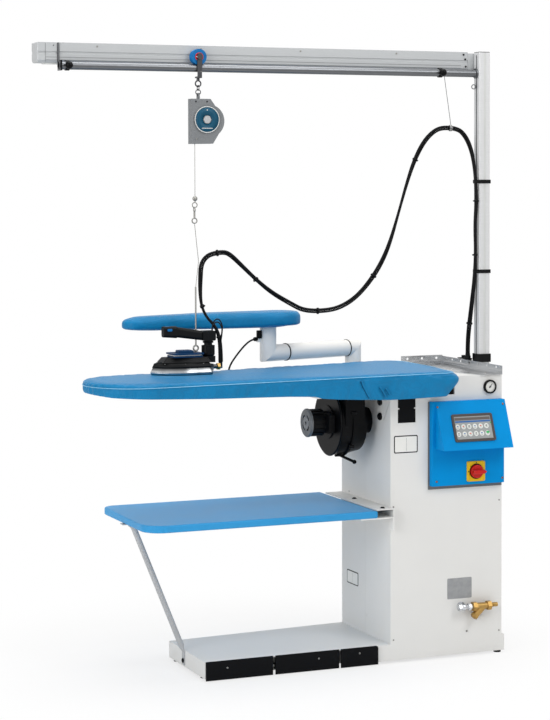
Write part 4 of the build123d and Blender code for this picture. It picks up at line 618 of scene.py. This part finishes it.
# Where one stretch ends and the next begins, as (x, z)
CREST = (-514, 1310)
UNDER_TROLLEY = (-169, 1118.5)
HANGER = (309, 1708.5)
HOSE_IRON = hung((-504, 966), (-504, 1000), (-508, 1046), (-523, 1082), (-552, 1109), (-568, 1146),
                 (-572, 1191), (-571, 1235), (-569, 1271), (-557, 1293), (-536, 1307), CREST)
HOSE_FRONT = hung(CREST, (-492, 1313), (-470, 1304), (-436, 1273), (-385, 1225), (-330, 1181), (-266, 1145),
                  (-214, 1118.5), UNDER_TROLLEY)
HOSE_SAG = hung(UNDER_TROLLEY, (-126, 1118.5), (-72, 1135), (-21, 1169), (31, 1228), (68, 1288), (94, 1350),
                (121, 1434), (152, 1535), (179, 1607), (211, 1663), (246, 1697), (280, 1710.5), HANGER)
HOSE_POST = hung(HANGER, (338, 1706.5)) + [
    (365, 185, 1681), (383, 180, 1638), (391, 175, 1585), (395, 172, 1530), (397, 170, 1465),
    (393, 174, 1385), (396, 175, 1300), (395, 179, 1215), (392, 192, 1130), (391, 208, 1055),
    (391, 219, 1000), (391, 219, 960)]
SLEEVE_CABLE = [(-322, 331, 1022), (-338, 331, 1022), (-362, 332, 1006), (-392, 334, 972), (-416, 336, 938),
                (-423, 335, 904), (-412, 328, 876), (-392, 314, 859), (-372, 298, 852), (-355, 284, 857),
                (-350, 277, 872), (-350, 277, 889)]

# For each stretch: its route, the bodies it runs between (or the one it rides on), and the angle of its
# strands round it at each point
HOSES = {
    "hose_iron": (HOSE_IRON, ("iron", None), (0, 10, 30, 60, 80, 60, 30, 0, -20, -10, 0, 0)),
    "hose_front": (HOSE_FRONT, ("iron", "trolley"), (0, 0, 20, 50, 70, 40, 10, 0, 0)),
    "hose_sag": (HOSE_SAG, ("trolley", "stand"), (0, 0, -20, -50, -30, 0, 30, 60, 40, 10, -10, 0, 0, 0)),
    "hose_post": (HOSE_POST, ("stand", None), (0, 0, 20, 60, 90, 90, 70, 90, 100, 80, 60, 30, 0, 0)),
}

# The two strands: name, radius, distance from the route, material and depth of ribs
STRANDS = (("steam", 4.6, 3.1, "rubber", 0.35), ("cable", 3.2, -4.8, "cable", 0))
LINES = {}


def hoses():
    for node, (route, bodies, angles) in HOSES.items():
        for kind, radius, distance, mat, ribs in STRANDS:
            beside = offset_route(route, distance, angles)
            points, total = even(path_points(beside), 3.0)
            LINES[node, kind] = points
            obj = tube(f"{node}_{kind}", points, radius, mat, None, ribs=ribs)
            if bodies[1]:
                at(*route[0])
                at(*route[-1])
                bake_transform(obj)
            else:
                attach(obj, bodies[0])
            if kind == "steam":
                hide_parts(node)


# A tie is oval: TIE_R towards each strand, and TIE_FLAT of that across
TIE_R = 9.2
TIE_FLAT = 0.68


def band(name, node, place, width=5, mat="black", tail=True):
    """A tie round both strands at the point of the hose nearest to a place."""
    a, b = LINES[node, "steam"], LINES[node, "cable"]
    target = Vector(place)
    i = min(range(len(a)), key=lambda k: (a[k] - target).length)
    t = heading(a, i)
    j = min(range(len(b)), key=lambda k: (b[k] - a[i]).length)
    centre = a[i].lerp(b[j], 0.44)
    across = b[j] - a[i]
    across = (across - t * across.dot(t)).normalized()
    profile = section(TIE_R, TIE_R + 1.3, -width / 2, width / 2)
    route, bodies, _ = HOSES[node]
    body = None if bodies[1] else bodies[0]
    parts = [lathe(name, profile, centre, t, mat, body, steps=22, squash=(TIE_FLAT, 1.0), up=across)]
    if tail:
        side = across.cross(t)
        root = centre + side * (TIE_R * TIE_FLAT + 1)
        for part, w, h, up, depth, bevel in (("tail", 2.6, 9, 3, 1.2, 0.3), ("lock", 4.5, 4.5, 0, 2.6, 0.5)):
            outline = round_box(w, h, 1)
            spot = root + across * up
            parts.append(prism(f"{name}_{part}", outline, spot, side, depth, mat, body, across, bevel))
    for part in parts:
        if bodies[1]:
            at(*route[0])
            at(*route[-1])
            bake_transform(part)


hoses()
band("tie_iron_low", "hose_iron", (-508, 187, 1046))
band("clamp_iron", "hose_iron", (-571, 187, 1141), width=8)
band("tie_iron_high", "hose_iron", (-514, 187, 1310))
band("tie_front", "hose_front", (-385, 187, 1222))
band("tie_low", "hose_front", (-169, 187, 1118))
band("tie_sag", "hose_sag", (31, 187, 1227))
band("tie_rise", "hose_sag", (181, 187, 1604))
band("band_crest", "hose_sag", (309, 187, 1708), width=8, mat="zinc", tail=False)
band("tie_post_a", "hose_post", (397, 172, 1470))
band("tie_post_b", "hose_post", (395, 176, 1290))
band("strap_post_low", "hose_post", (391, 205, 1060))


def sleeve_cable():
    points, total = even(path_points(SLEEVE_CABLE), 3.0)
    obj = tube("sleeve_board_cable", points, 3, "cable", None, ring=12)
    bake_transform(obj)
    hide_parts("sleeve_cable")


WIRE_X = -588
WIRE_LOW = 1489.3
WIRE_HIGH = 1652


def wire_of_balancer():
    line = [Vector((WIRE_X, PLANE_Y, WIRE_LOW + (WIRE_HIGH - WIRE_LOW) * i / 24)) for i in range(25)]
    obj = tube("balancer_wire", line, 1, "zinc", None, ring=10)
    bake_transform(obj)
    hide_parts("lift_wire")


sleeve_cable()
wire_of_balancer()


# Board cover

# The round end of the board, its corner at the front right, and the level of the cover's crease
NOSE = Vector((-808, 92, 0))
NOSE_R = 172
CORNER_TIP = Vector((172, -66, 0))
CORNER_REACH = 125
CREASE_Z = 914


def turned(arm, angle):
    """A flat vector turned by an angle."""
    return Vector((arm.x * math.cos(angle) - arm.y * math.sin(angle),
                   arm.x * math.sin(angle) + arm.y * math.cos(angle)))


def arc_path(points, radii):
    """A flat path with rounded corners, as (x, y) points about 6 mm apart on its arcs."""
    path = [Vector(points[0])]
    for before, corner, after, radius in zip(points, points[1:], points[2:], radii):
        a, b, c = Vector(before), Vector(corner), Vector(after)
        din, dout = (b - a).normalized(), (c - b).normalized()
        turn = din.angle_signed(dout) * -1
        start = b - din * (radius * math.tan(abs(turn) / 2))
        hand = 1 if turn > 0 else -1
        centre = start + Vector((-din.y, din.x)) * hand * radius
        count = max(2, round(radius * abs(turn) / 6))
        path += [centre + turned(start - centre, turn * k / count) for k in range(count + 1)]
    path.append(Vector(points[-1]))
    return path


def board_line():
    """The board's outline from above, as points 7 mm apart."""
    corners = [(-808, 264), (-528, 264), (-310, 318), (0, 371), (110, 404), (216, 409), (216, 120),
               (180, -80), (-808, -80)]
    path = arc_path(corners, [300, 400, 150, 90, 64, 120, 42])
    for k in range(1, 60):
        a = math.radians(-90 - 180 * k / 60)
        path.append(Vector((NOSE.x + NOSE_R * math.cos(a), NOSE.y + NOSE_R * math.sin(a))))
    line = [Vector((p.x, p.y, 0)) for p in path]
    points, _ = even(line + line[:1], 7)
    return points[:-1]


# The hem's height at places along the board
HEM = [(-1100, 902), (-998, 897), (-934, 889), (-818, 885), (-640, 879), (-382, 875), (-292, 871),
       (-268, 864), (-211, 859), (-38, 850.5), (50, 851), (154, 854), (200, 899), (300, 903)]


def hem_z(x):
    for (x0, z0), (x1, z1) in zip(HEM, HEM[1:]):
        if x <= x1:
            return z0 + (z1 - z0) * (x - x0) / (x1 - x0)
    return HEM[-1][1]


def outward(points):
    """The direction out of a closed line at each of its points."""
    n = len(points)
    result = []
    for i in range(n):
        t = (points[(i + 1) % n] - points[i - 1]).normalized()
        result.append(Vector((t.y, -t.x, 0)))
    centre = sum(points, Vector()) / n
    if sum((points[i] - centre).dot(result[i]) for i in range(n)) < 0:
        result = [-r for r in result]
    return result


def soften(obj, frames, pressure, free, cap, limit, shrink=0.0):
    """Lets the cloth settle, caps how far each point moves, and keeps the result in the mesh."""
    mesh = obj.data
    rest = [v.co.copy() for v in mesh.vertices]
    group = obj.vertex_groups.new(name="held")
    for i, loose in enumerate(free):
        group.add([i], 1 - loose, "REPLACE")
    cloth = obj.modifiers.new("cloth", "CLOTH")
    for key, value in {"quality": 4, "mass": 0.3, "tension_stiffness": 12, "compression_stiffness": 12,
                       "shear_stiffness": 6, "bending_stiffness": 0.6, "use_pressure": True,
                       "uniform_pressure_force": pressure, "vertex_group_mass": "held", "pin_stiffness": 1,
                       "shrink_min": shrink}.items():
        setattr(cloth.settings, key, value)
    cloth.settings.effector_weights.gravity = 0
    cloth.collision_settings.use_collision = False
    cloth.point_cache.frame_start = 1
    cloth.point_cache.frame_end = frames
    for f in range(1, frames + 1):
        scene.frame_set(f)
    dg = bpy.context.evaluated_depsgraph_get()
    moved = [v.co.copy() for v in obj.evaluated_get(dg).data.vertices]
    obj.modifiers.remove(cloth)
    obj.vertex_groups.remove(group)
    scene.frame_set(1)
    for i, (a, b) in enumerate(zip(rest, moved)):
        d = b - a
        if d.length > cap:
            d = d.normalized() * cap
        mesh.vertices[i].co = limit(a + d)
    mesh.update()


def smoothed(obj):
    sub = obj.modifiers.new("smooth", "SUBSURF")
    sub.levels = 1
    sub.render_levels = 1


def falling(value, stops):
    """The second number at a value on the line through stops, whose first numbers fall."""
    if value >= stops[0][0]:
        return stops[0][1]
    for (a, ha), (b, hb) in zip(stops, stops[1:]):
        if value >= b:
            return ha + (hb - ha) * (a - value) / (a - b)
    return stops[-1][1]


def shape_corner(v):
    """The cover stands out at the front right corner, where its crease ends in a point."""
    share = max(0.0, 1 - (Vector((v.x, v.y, 0)) - CORNER_TIP).length / CORNER_REACH)
    share = share * share * (3 - 2 * share)
    out = falling(v.z, ((932, 2), (927, 12), (916, 26), (905, 31), (894, 26), (882, 18), (870, 10)))
    v.x += 0.93 * out * share
    v.y -= 0.37 * out * share


def gather_nose(v, i):
    """Short pleats where the drawn cloth goes round the nose."""
    share = min(1.0, max(0.0, (-850 - v.x) / 90))
    if v.z > 928 or share <= 0:
        return
    pleat = math.sin(1.9 * i + 2.4 * noise.noise(Vector((i / 5, 7, 0))))
    depth = 1.5 * share * pleat * min(1.0, (930 - v.z) / 12)
    side = Vector((v.x - NOSE.x, v.y - NOSE.y, 0)).normalized()
    v.x += side.x * depth
    v.y += side.y * depth


def board_cloth():
    """The board's cover: flat top, rounded shoulder, crease, uneven skirt, rolled hem and a lining."""
    line = board_line()
    out = outward(line)
    n = len(line)
    rows = []
    # Inset and height of the rows from the top to the crease
    for inset, z in ((60, 932), (34, 932), (20, 931.6), (11, 930.2), (5, 927.2), (1.6, 922.8), (0.5, 919),
                     (2, 916.6), (0.8, CREASE_Z)):
        rows.append([(line[i] - out[i] * inset) + Vector((0, 0, z)) for i in range(n)])
    for share in (0.2, 0.42, 0.64, 0.84, 1.0):
        row = []
        for i in range(n):
            x, y, _ = line[i]
            z = CREASE_Z + (hem_z(x) - CREASE_Z) * share
            dent = abs(1.3 * noise.noise(Vector((x / 46, y / 46, 3 * share))))
            fold = 0.9 * math.sin(0.21 * i + 3 * noise.noise(Vector((i / 23, 0, 0)))) * share
            inset = 0.9 + 2.4 * share * share + dent + 0.5 * fold
            row.append(line[i] - out[i] * inset + Vector((0, 0, z)))
        rows.append(row)
    hem = rows[-1]
    for inset, rise in ((1.2, -0.6), (3.6, -0.6), (4.6, 1.0), (4.6, 5.0)):
        rows.append([hem[i] - out[i] * inset + Vector((0, 0, rise)) for i in range(n)])
    roll = rows[-1]
    under = [Vector((p.x, p.y, CREASE_Z)) for p in roll]
    rows.append([p * 0.5 + q * 0.5 for p, q in zip(roll, under)])
    rows.append(under)
    rows.append([line[i] - out[i] * 34 + Vector((0, 0, CREASE_Z)) for i in range(n)])
    verts = [p.copy() for row in rows for p in row]
    for k, v in enumerate(verts):
        if k >= 2 * n:
            shape_corner(v)
            gather_nose(v, k % n)
    faces = sides(n, len(rows))
    faces += [tuple(range(n)), tuple(range((len(rows) - 1) * n, len(rows) * n))[::-1]]
    obj = piece("board_cover_cloth", verts, faces, "blue_cloth", smooth=True)
    # How freely each row moves: the top's middle, the crease, the hem and the lining are held
    loose = [0, 0, 0.5, 0.9, 1, 1, 0.7, 0, 0.6, 0.9, 1, 1, 0.7] + [0] * (len(rows) - 13)
    free = [loose[k // n] for k in range(len(verts))]
    top = at(0, 0, BOARD_TOP + 0.1).z

    def limit(place):
        place.z = min(place.z, top)
        return place

    soften(obj, 10, 1.2, free, 0.0026, limit, shrink=-0.035)
    smoothed(obj)
    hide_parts("board_cover")
    return line, out


BOARD, BOARD_OUT = board_cloth()


def shoulder_highlight_cord():
    """A thin cord round the cover's shoulder, which rises towards the right; its pale blue is a painted
    highlight along the shoulder, and its gloss catches the lamps too.
    """
    n = len(BOARD)
    ring = [p + out * 0.9 + Vector((0, 0, 917.0 + 0.0095 * (p.x + 982))) for p, out in zip(BOARD, BOARD_OUT)]
    verts, faces = [], []
    for i, (p, out) in enumerate(zip(ring, BOARD_OUT)):
        shape_corner(p)
        for k in range(6):
            a = 2 * math.pi * k / 6
            verts.append(p + out * 1.1 * math.cos(a) + Vector((0, 0, 1.1 * math.sin(a))))
            j, m = (i + 1) % n, (k + 1) % 6
            faces.append((i * 6 + k, j * 6 + k, j * 6 + m, i * 6 + m))
    piece("board_highlight_cord", verts, faces, "painted_highlight_blue", smooth=True)


shoulder_highlight_cord()


def creases():
    """The edge of the cover's flap on the front, and the two short folds beside it: each is a dark cord of
    painted shade along the crease, with a cord of cover cloth beside it.
    """
    front = -81.6
    for i, (line, dark, pale) in enumerate((([(-142, 913), (-134, 894), (-124, 876), (-113, 858)], 1.1, 2.4),
                                            ([(-79, 892), (-70, 880), (-62, 868), (-57, 858)], 0.8, 1.8),
                                            ([(-58, 886), (-50, 876), (-44, 866)], 0.8, 1.8))):
        points, _ = even([Vector((x, front, z)) for x, z in line], 4)
        tube(f"cover_crease_shade_{i}", points, dark, "crease_shade_blue", ring=8)
        beside = [p + Vector((3.4, -0.5, 0.8)) for p in points]
        tube(f"cover_fold_{i}", beside, pale, "blue_cloth", ring=10)


creases()


# The sleeve form's underside and middle height, and the foot that its riser holds
SLEEVE_LOW = 1062.3
SLEEVE_MIDDLE = 1084.6
SLEEVE_FOOT = (-283, 331, 0)


def sleeve_cloth():
    """The sleeve board's cover, from its own solid: thinner towards its left end, and puffed up."""
    source = NODES["sleeve_form"]
    obj = added("sleeve_board_cloth", source.data.copy())
    obj.data.materials.clear()
    obj.data.materials.append(M["blue_cloth"])
    remesh = obj.modifiers.new("remesh", "REMESH")
    remesh.mode = "VOXEL"
    remesh.voxel_size = 0.006
    dg = bpy.context.evaluated_depsgraph_get()
    mesh = bpy.data.meshes.new_from_object(obj.evaluated_get(dg))
    obj.modifiers.clear()
    obj.data = mesh
    low = at(0, 0, SLEEVE_LOW).z
    middle = at(0, 0, SLEEVE_MIDDLE).z
    foot = at(*SLEEVE_FOOT).xy
    for v in mesh.vertices:
        x = v.co.x * 1000 - SHIFT.x
        share = min(1.0, max(0.0, (-480 - x) / 300))
        v.co.z = middle + (v.co.z - middle) * (1 - 0.3 * share)
    free = [0.0 if v.co.z < low + 0.002 and (v.co.xy - foot).length < 0.045 else 1.0 for v in mesh.vertices]

    def limit(place):
        place.z = max(place.z, low)
        return place

    soften(obj, 18, 3.5, free, 0.005, limit)
    for polygon in mesh.polygons:
        polygon.use_smooth = True
    smoothed(obj)
    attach(obj, "sleeve_board")
    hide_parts("sleeve_form")


sleeve_cloth()


# Small details

# The console's hood slopes down and forward from HOOD_TOP, and the display's face stands above it
HOOD_TOP = (-22, 830)
HOOD_UP = (0, 60, 150)
HOOD_OUT = (0, -150, 60)
DISPLAY_FACE = 2.6


def plate(name, w, h, r, origin, normal, depth, mat, body="stand", up=None, bevel=0):
    return prism(name, round_box(w, h, r), origin, normal, depth, mat, body, up, bevel)


def on_hood(x, down, out=0.0):
    """A place on the hood's slope."""
    slope = Vector((0, -60, -150)).normalized()
    return Vector((x, *HOOD_TOP)) + slope * down + Vector(HOOD_OUT).normalized() * out


def on_display(name, outline, x, down, lift, mat, depth=0.25, bevel=0):
    """A flat piece on the hood, raised above the display's face."""
    prism(name, outline, on_hood(x, down, DISPLAY_FACE + lift), HOOD_OUT, depth, mat, up=HOOD_UP, bevel=bevel)


def console_details():
    on_display("display_face", round_box(134, 79, 3, 4), 266.5, 89.7, 0, "screen")
    on_display("display_band_top", round_box(126, 9, 1, 4), 266.5, 60.5, 0.25, "screen_dark")
    on_display("display_band_blue", round_box(126, 5, 1, 4), 266.5, 69.5, 0.25, "icon_blue")
    for row, down in enumerate((86, 110)):
        for i in range(6):
            x = 210 + 20.6 * i
            mark = ("icon_blue", "icon_red", "ink")[(i + 2 * row) % 3]
            on_display(f"key_{row}_{i}", oval(16, 17, 20), x, down, 0.25, "icon", 0.4, 0.1)
            on_display(f"key_mark_{row}_{i}", round_box(5 + (i % 3), 3.2, 1), x, down - 1.5, 0.65, mark, 0.12)
            on_display(f"key_line_{row}_{i}", round_box(7, 1.1, 0.4), x, down + 3.4, 0.65, "ink", 0.12)
    disc("lamp_green", 2.2, on_hood(330, 76, DISPLAY_FACE + 0.25), HOOD_OUT, 0.5, "icon_green")
    on_display("key_green", round_box(11, 7, 2), 314, 107, 0.7, "icon_green", 0.2)
    plate("console_gasket_low", 262, 12, 1, (267, 0, 554), FRONT, 3, "gasket_and_groove_shade", bevel=0.3)
    plate("console_gasket_left", 5, 282, 1, (134.5, 0, 689), FRONT, 3, "gasket_and_groove_shade", bevel=0.3)
    for i, (x, down) in enumerate(((152, 17), (388, 16))):
        screw(f"console_screw_{i}", on_hood(x, down, 0.1), HOOD_OUT, 3.4, "copper")
    for i, x in enumerate((152.5, 390)):
        screw(f"console_screw_{i + 2}", (x, -22.1, 575), FRONT, 3.4, "copper")
    for i, (x, z) in enumerate(((265.5, 572.5), (319.5, 572.5), (265.5, 631.5), (319.5, 631.5))):
        screw(f"plate_screw_{i}", (x, -27, z), FRONT, 1.6, cross=False)
    lathe("switch_ring", section(21.8, 24.6, 0, 1.6), (292.5, -27, 602), FRONT, "gloss_black", steps=40)
    for i, (dx, dz) in enumerate(((-28, 0), (0, 28))):
        plate(f"switch_mark_{i}", 3.6, 3.6, 0.6, (292.5 + dx, -27, 602 + dz), FRONT, 0.2, "ink")


console_details()


def gauge_details():
    """The dial with a tick every 13.5 degrees, longer at each fifth, and its glass."""
    x, z = 354.4, 870
    dial = section(0.01, 17.2, 0, 0.5)
    lathe("gauge_dial", dial, (x, -4.05, z), FRONT, "off_white", steps=48, smooth=False)
    for i in range(21):
        a = math.radians(225 - 270 * i / 20)
        r, w, h = (15.3, 0.35, 1.8) if i % 5 else (14.6, 0.7, 3.2)
        spot = (x + r * math.cos(a), -4.6, z + r * math.sin(a))
        up = (math.cos(a), 0, math.sin(a))
        prism(f"gauge_tick_{i}", round_box(w, h, 0.1, 2), spot, FRONT, 0.12, "ink", up=up)
    lathe("gauge_glass", [(0.01, 0), (17.4, 0), (17.4, 0.9), (12, 1.3), (0.01, 1.5)], (x, -8.0, z), FRONT,
          "glass", steps=48)


gauge_details()


def cabinet_details():
    """Bare warning and rating plates, screws, rivets and caps."""
    for name, centre, normal, w, h in (("front", Vector((54, 0, 698)), FRONT, 84, 56),
                                       ("side", Vector((0, 288.5, 224.5)), LEFT, 88, 45)):
        right, _, out = axes(normal)
        plate(f"{name}_plate_edge", w, h, 5, centre, normal, 0.5, "ink")
        plate(f"{name}_plate_bare", w - 7, h - 7, 3, centre + out * 0.5, normal, 0.3, "off_white")
        plate(f"{name}_plate_part", 0.9, h - 14, 0.3, centre + out * 0.8 + right * 2, normal, 0.15, "label")
    plate("rating_plate_bare", 88, 67, 3, (246, 0, 222.5), FRONT, 0.7, "label", bevel=0.2)
    disc("hole_plug", 7.5, (328, 0, 122), FRONT, 1.6, "off_white", bevel=0.5)
    screw("top_corner_screw", (272, 0, 81), FRONT, 3.2)
    for i, (x, z) in enumerate(((10, 74), (390, 74), (390, 500), (10, 500))):
        screw(f"cover_screw_{i}", (x, 0, z), FRONT, 2.6)
    disc("side_rivet", 3.2, (0, 315, 508), LEFT, 1.2, "grey", bevel=0.4)
    for i, z in enumerate((120, 420, 700)):
        disc(f"seam_rivet_{i}", 2.4, (0, 178, z), LEFT, 0.9, "white")
    cap = [(0.01, 0), (12.2, 0), (12.2, 3.5), (9, 6.4), (0.01, 7.2)]
    for i, z in enumerate((828.5, 781.6)):
        lathe(f"bolt_cap_{i}", cap, (-1.2, 73.5, z), LEFT, "gloss_black", steps=28)
    screw("rest_screw", (372, 60, 909.6), UP, 4)
    for i, (x, z, body) in enumerate(((-559, 39, "pedal_left"), (-252, 40, "pedal_middle"),
                                      (-111, 43.5, "stand"))):
        screw(f"pedal_screw_{i}", (x, -6.0, z), FRONT, 3.0, "zinc", body)


cabinet_details()

# The gantry's post, the front of its boom and the middle of the balancer's face
POST = (425, 185)
BOOM_Y = 203.9
BALANCER = Vector((-553, 169, 1728))
BACK = (0, 1, 0)


def post_strap(i, z):
    """A strap round the post, with its loop round the hose."""
    corners = [(-22, -22), (22, -22), (22, 22), (-22, 22)]
    verts, faces = [], []
    for rise in (-6, 6):
        for half in (20.4, 21.8):
            verts += [(POST[0] + a * half / 22, POST[1] + b * half / 22, z + rise) for a, b in corners]
    for k in range(4):
        m = (k + 1) % 4
        faces += [(4 + k, 4 + m, 12 + m, 12 + k), (k, 8 + k, 8 + m, m), (k, m, 4 + m, 4 + k),
                  (8 + k, 12 + k, 12 + m, 8 + m)]
    piece(f"post_strap_{i}", verts, faces, "black")
    angles = [math.radians(d) for d in range(60, 305, 15)]
    line = [Vector((398 + 8.5 * math.cos(a), 175 + 12 * math.sin(a), z)) for a in angles]
    tube(f"post_strap_loop_{i}", line, 1.6, "black", ring=8)


def gantry_details():
    post_strap(0, 1532)
    post_strap(1, 1235)
    plate("lamp_diffuser", 1421, 40, 6, (-353.5, 236, 1898), (0, 0, -1), 3, "lamp", up=BACK, bevel=0.3)
    for i, x in enumerate((-900, -560, -220, 120)):
        disc(f"lamp_clip_{i}", 3, (x, BOOM_Y, 1950), FRONT, 1.2, "zinc")
    for i, (x, z) in enumerate(((395, 1950), (395, 1910), (435, 1950), (435, 1910))):
        disc(f"boom_bolt_{i}", 5, (x, 211, z), BACK, 4, "zinc")
    for part, inner, outer, high, mat in (("ring", 9, 13.5, 1.2, "red"), ("hub", 4.4, 8.6, 1.6, "chrome")):
        spot = (-576, 175.9, 1923.5)
        lathe(f"wheel_{part}", section(inner, outer, 0, high), spot, FRONT, mat, "rail_wheel", steps=30)
    c, out = BALANCER, Vector(FRONT)
    lathe("balancer_rim", section(39, 41.6, -0.2, 1.3), c, out, "pale_grey", "trolley", steps=48)
    lathe("balancer_blue", section(13.6, 39.2, 0.1, 0.9), c, out, "dial_blue", "trolley", steps=48)
    prism("balancer_hub", oval(26, 26, 6), c + out * 2, out, 1.2, "grey", "trolley", bevel=0.4)
    face = c + out * 0.9
    disc("balancer_dot", 2, face + Vector((0, 0, 30)), out, 0.5, "pale_grey", "trolley", bevel=0.1)
    plate("balancer_line", 36, 2.2, 0.8, face + Vector((0, 0, -27)), out, 0.4, "pale_grey", "trolley")
    screw("balancer_screw", (-588, 169, 1668), out, 2.4, "zinc", "trolley")
    plate("strap_up", 6.4, 60, 1, (-1024.5, BOOM_Y, 1929), out, 2.6, "black", bevel=0.3)
    plate("strap_low", 5.6, 32, 1, (-1024.5, 171.4, 1889), out, 1.4, "black", bevel=0.3)
    for i, (start, end) in enumerate((((-1034, 207, 1958.6), (-1008, 205, 1958.6)),
                                      ((-1031, 212, 1958.6), (-1040, 203, 1950)))):
        points, _ = even([Vector(start), Vector(end)], 5)
        tube(f"strap_tail_{i}", points, 1.3, "black", ring=8)
    # The two grey lines along the boom are painted shade in its grooves.
    for i, z in enumerate((1915, 1906.5)):
        plate(f"boom_line_{i}", 1420, 1.1, 0.3, (-353, BOOM_Y, z), out, 0.25, "gasket_and_groove_shade")
    plate("boom_cap_line", 1.2, 58, 0.4, (-1065, BOOM_Y, 1929), out, 0.3, "gasket_and_groove_shade")
    for i, (x, z) in enumerate(((366, 1951), (372, 1936), (374, 1912))):
        disc(f"boom_end_screw_{i}", 3.2, (x, BOOM_Y, z), out, 2.4, "black", bevel=0.4)
    plate("post_cap", 39, 39, 3, (*POST, 1958), UP, 1.9, "black", up=BACK, bevel=0.3)
    # The grey strip on the post's left side is painted shade in its slot.
    plate("post_side_slot", 7, 1380, 1, (404.8, 185, 1260), LEFT, 0.4, "gasket_and_groove_shade")
    plate("post_front_slot", 6.6, 1420, 1, (425, 165.9, 1245), out, 0.3, "pale_grey")
    along = Vector((351, 101, 0)).normalized()
    plate("riser_clip", 16, 26, 2, (-318, 326, 1038), out, 8, "gloss_black", "sleeve_arm", bevel=0.3)
    lathe("riser_gland", [(3.4, 0), (7, 0), (7, 9), (5, 13), (3.4, 13)], (-321, 331, 1022), LEFT,
          "gloss_black", "sleeve_arm", steps=24)
    seal = section(26.8, 28.9, -1.7, 1.7)
    for i, run in enumerate((73, 334)):
        spot = Vector((-283, 331, 975)) + along * run
        lathe(f"arm_seal_{i}", seal, spot, along, "gloss_black", "sleeve_arm", steps=40)


gantry_details()


def arc3(a, b, c, count):
    """Points on the circle through three places, from the first up to the last."""
    a, b, c = Vector(a), Vector(b), Vector(c)
    aa, bb, cc = a.length_squared, b.length_squared, c.length_squared
    d = 2 * (a.x * (b.y - c.y) + b.x * (c.y - a.y) + c.x * (a.y - b.y))
    centre = Vector(((aa * (b.y - c.y) + bb * (c.y - a.y) + cc * (a.y - b.y)) / d,
                     (aa * (c.x - b.x) + bb * (a.x - c.x) + cc * (b.x - a.x)) / d))
    turn = (a - centre).angle_signed(c - centre) * -1
    half = (a - centre).angle_signed(b - centre) * -1
    if turn * half < 0:
        turn += math.copysign(2 * math.pi, half)
    return [centre + turned(a - centre, turn * k / count) for k in range(count)]


def iron_line(inset):
    """The iron's plan, as the model draws it."""
    y = PLANE_Y
    half, nose, rear, side = 60 - inset, -738 + 1.5 * inset, -546 - inset, -626
    line = arc3((nose, y), (nose + 40, y + half * 0.66), (side, y + half), 14)
    line += [Vector((side, y + half)), Vector((side + 35, y + half - 2)), Vector((rear - 10, y + half - 4))]
    line += [Vector((rear - 2, y + half - 9)), Vector((rear, y + half - 20)), Vector((rear, y))]
    return line + [Vector((p.x, 2 * y - p.y)) for p in reversed(line[1:-1])]


def iron_details():
    """The skirt's lip and screws, the shield's gap, the grip's marks, the union nut and the cable loops."""
    y = PLANE_Y
    shape = ((955, 3.4), (960, 5.1), (967.6, 7.5), (969.4, 9.6), (967.4, 11), (960, 7.8), (955.2, 5.6))
    rows = [[(p.x, p.y, z) for p in iron_line(inset)] for z, inset in shape]
    faces = ring_of_rows(len(rows[0]), len(rows))
    piece("iron_skirt_lip", [v for row in rows for v in row], faces, "black", "iron", smooth=True)
    plate("shield_gap", 96, 70, 12, (-623, y, 991), UP, 3.4, "off_white", "iron", up=BACK, bevel=0.2)
    plate("grip_sleeve", 20, 16, 4, (-609, y, 1057), (1, 0, 0), 1, "grey", "iron", up=UP, bevel=0.2)
    plate("grip_mark", 16, 8, 3, (-679, y - 16.6, 1072), FRONT, 0.8, "blue_plastic", "iron", bevel=0.2)
    for i, (x, dy) in enumerate(((-700, 30), (-640, 52), (-580, 53), (-700, -30), (-640, -52), (-580, -53))):
        screw(f"skirt_screw_{i}", (x, y + dy * 0.94, 966.8), UP, 2.2, "zinc", "iron")
    lathe("column_collar", section(13.2, 17, 0, 5), (-546, y, 1028), UP, "gloss_black", "iron")
    prism("union_nut", oval(22.8, 22.8, 6), (-517, y, 952), (1, 0, 0), 10, "brass", "iron", bevel=0.6)
    for i, (dx, dy, h) in enumerate(((0, -6, 1098), (3, 5, 1088))):
        loop = ((-534, 1064), (-534, 1078), (-528, h), (-512, h + 6), (-500, h - 14), (-500, 1062),
                (-505, 1030))
        points, _ = even(path_points([(x + dx, y + dy, z) for x, z in loop]), 3)
        tube(f"handle_cable_{i}", points, 2.1, "cable", "iron", ring=10)


iron_details()
